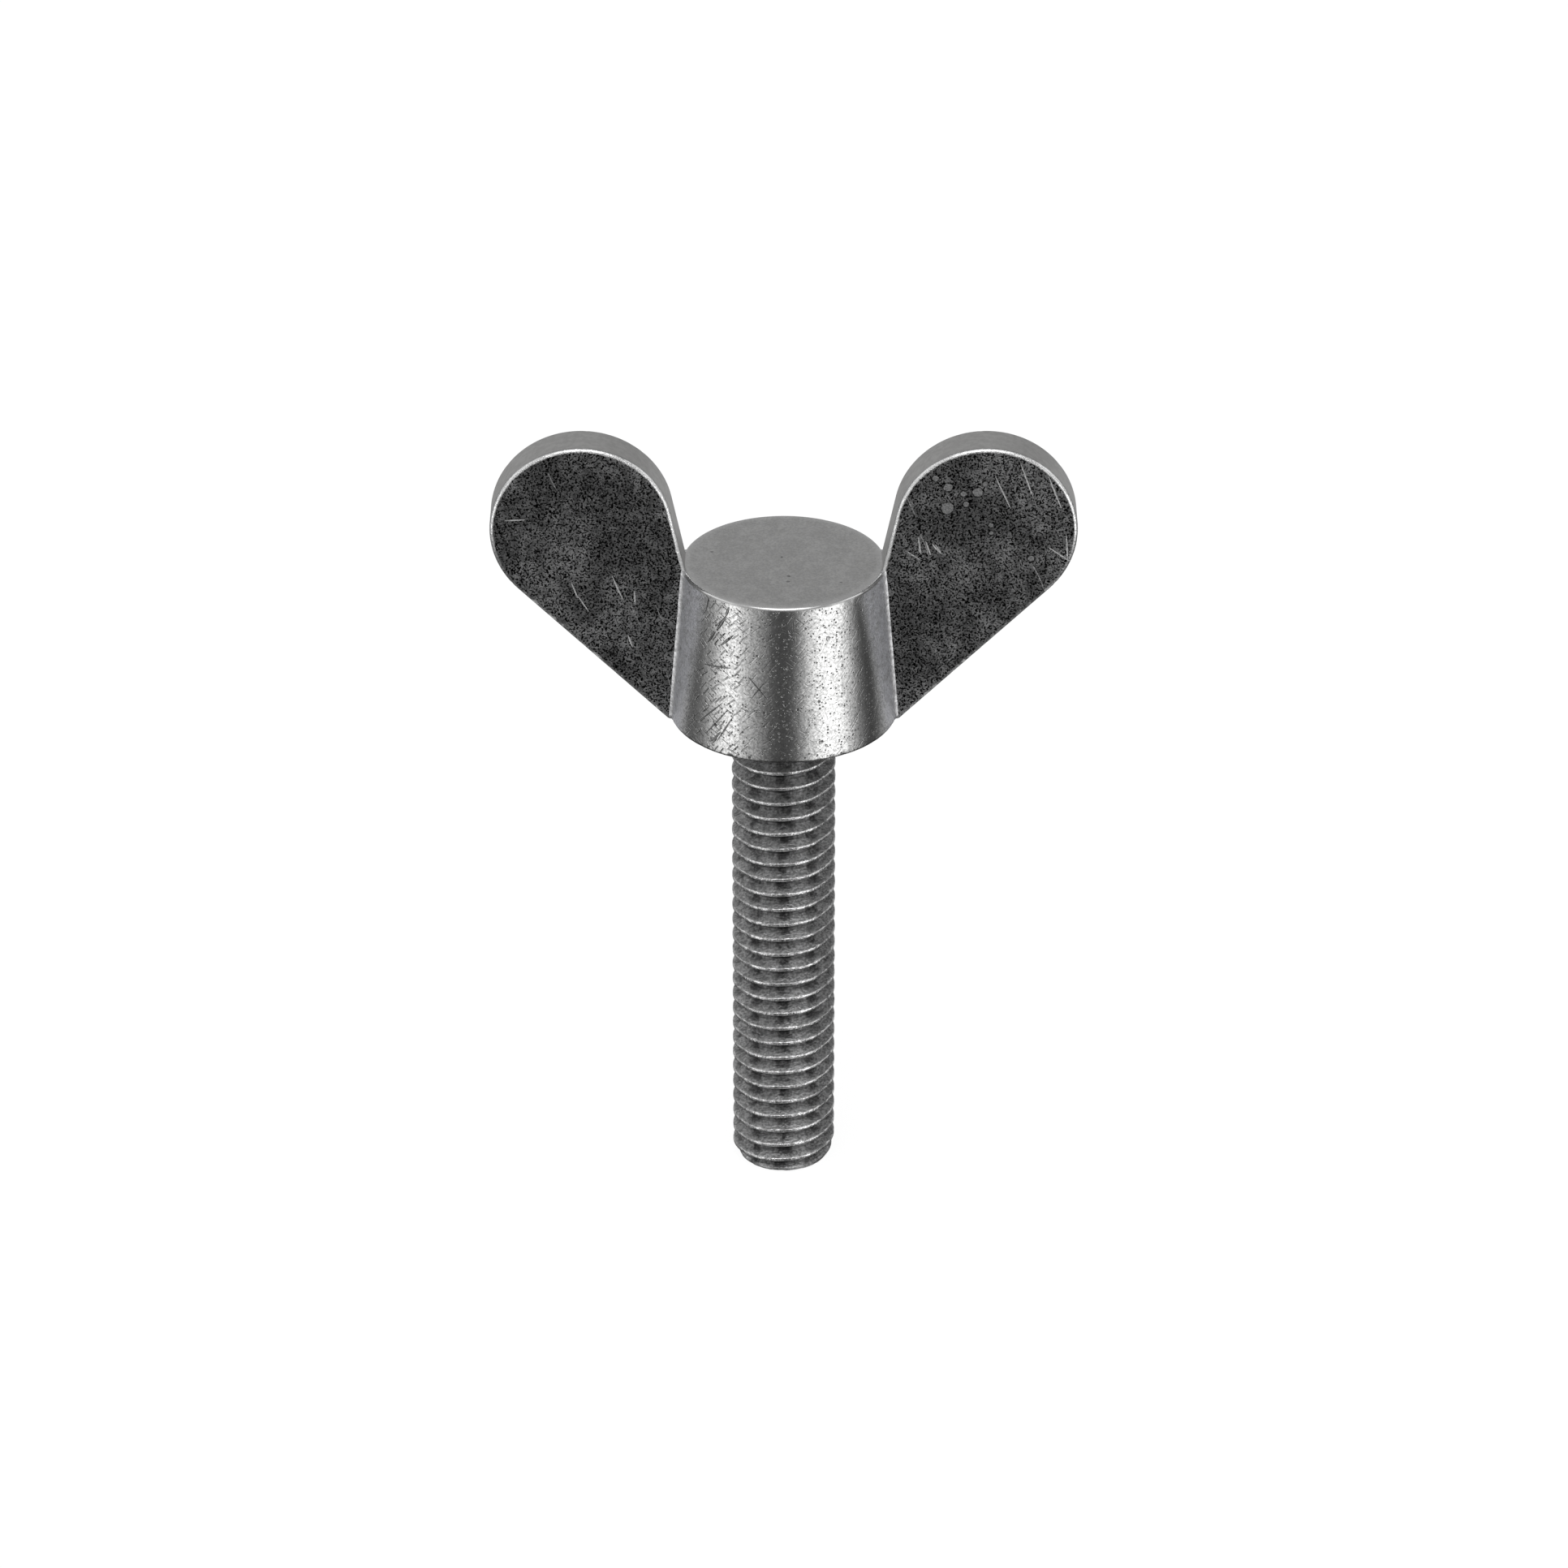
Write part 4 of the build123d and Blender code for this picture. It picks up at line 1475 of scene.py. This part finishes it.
class WINGSCREW_OT_wings(bpy.types.Operator):
    """Build both wing plates"""

    bl_idname = "wing_screw.wings"
    bl_label = "Wings"

    def execute(self, context):
        scene = context.scene
        material = wing_material(scene.wing_screw_finish)
        for side in (LEFT, RIGHT):
            build_wing(side, scene.wing_screw_hub, scene.wing_screw_wings, material)
        return {"FINISHED"}


class WINGSCREW_OT_braze(bpy.types.Operator):
    """Build the four braze beads and the braze ring"""

    bl_idname = "wing_screw.braze"
    bl_label = "Braze"

    def execute(self, context):
        scene = context.scene
        material = braze_material(scene.wing_screw_finish)
        for side in (LEFT, RIGHT):
            for face in (FRONT, REAR):
                build_bead(side, face, scene.wing_screw_hub, scene.wing_screw_wings, material)
        build_ring(scene.wing_screw_hub, scene.wing_screw_stud, material)
        return {"FINISHED"}


class WINGSCREW_OT_stud(bpy.types.Operator):
    """Build the threaded stud and its spigot"""

    bl_idname = "wing_screw.stud"
    bl_label = "Stud"

    def execute(self, context):
        scene = context.scene
        build_stud(scene.wing_screw_stud, scene.wing_screw_finish)
        return {"FINISHED"}


class WINGSCREW_OT_stage(bpy.types.Operator):
    """Build the floor, the soft light and the camera"""

    bl_idname = "wing_screw.stage"
    bl_label = "Stage"

    def execute(self, context):
        scene = context.scene
        build_world()
        build_floor(scene.wing_screw_finish)
        build_lamp()
        build_camera(scene.wing_screw_stage)
        return {"FINISHED"}


class WINGSCREW_PT_panel(bpy.types.Panel):
    """Lists the steps that build the wing screw"""

    bl_idname = "WINGSCREW_PT_panel"
    bl_label = "Wing Screw"
    bl_space_type = "VIEW_3D"
    bl_region_type = "UI"
    bl_category = "Wing Screw"

    def draw(self, context):
        for settings in SETTINGS:
            column = self.layout.column(align=True)
            group = getattr(context.scene, settings)
            for name in group.__annotations__:
                column.prop(group, name)
        for operator in OPERATORS:
            self.layout.operator(operator.bl_idname)


SETTINGS = {
    "wing_screw_hub": WingScrewHub,
    "wing_screw_wings": WingScrewWings,
    "wing_screw_stud": WingScrewStud,
    "wing_screw_finish": WingScrewFinish,
    "wing_screw_stage": WingScrewStage,
}
OPERATORS = (
    WINGSCREW_OT_stage,
    WINGSCREW_OT_hub,
    WINGSCREW_OT_wings,
    WINGSCREW_OT_braze,
    WINGSCREW_OT_stud,
)


def register():
    for name, group in SETTINGS.items():
        bpy.utils.register_class(group)
        setattr(bpy.types.Scene, name, PointerProperty(type=group))
    for item in (*OPERATORS, WINGSCREW_PT_panel):
        bpy.utils.register_class(item)


def unregister():
    for item in reversed((*OPERATORS, WINGSCREW_PT_panel)):
        bpy.utils.unregister_class(item)
    for name, group in reversed(SETTINGS.items()):
        delattr(bpy.types.Scene, name)
        bpy.utils.unregister_class(group)


def main():
    register()
    bpy.ops.wing_screw.stage()
    bpy.ops.wing_screw.hub()
    bpy.ops.wing_screw.wings()
    bpy.ops.wing_screw.braze()
    bpy.ops.wing_screw.stud()


if __name__ == "__main__":
    main()
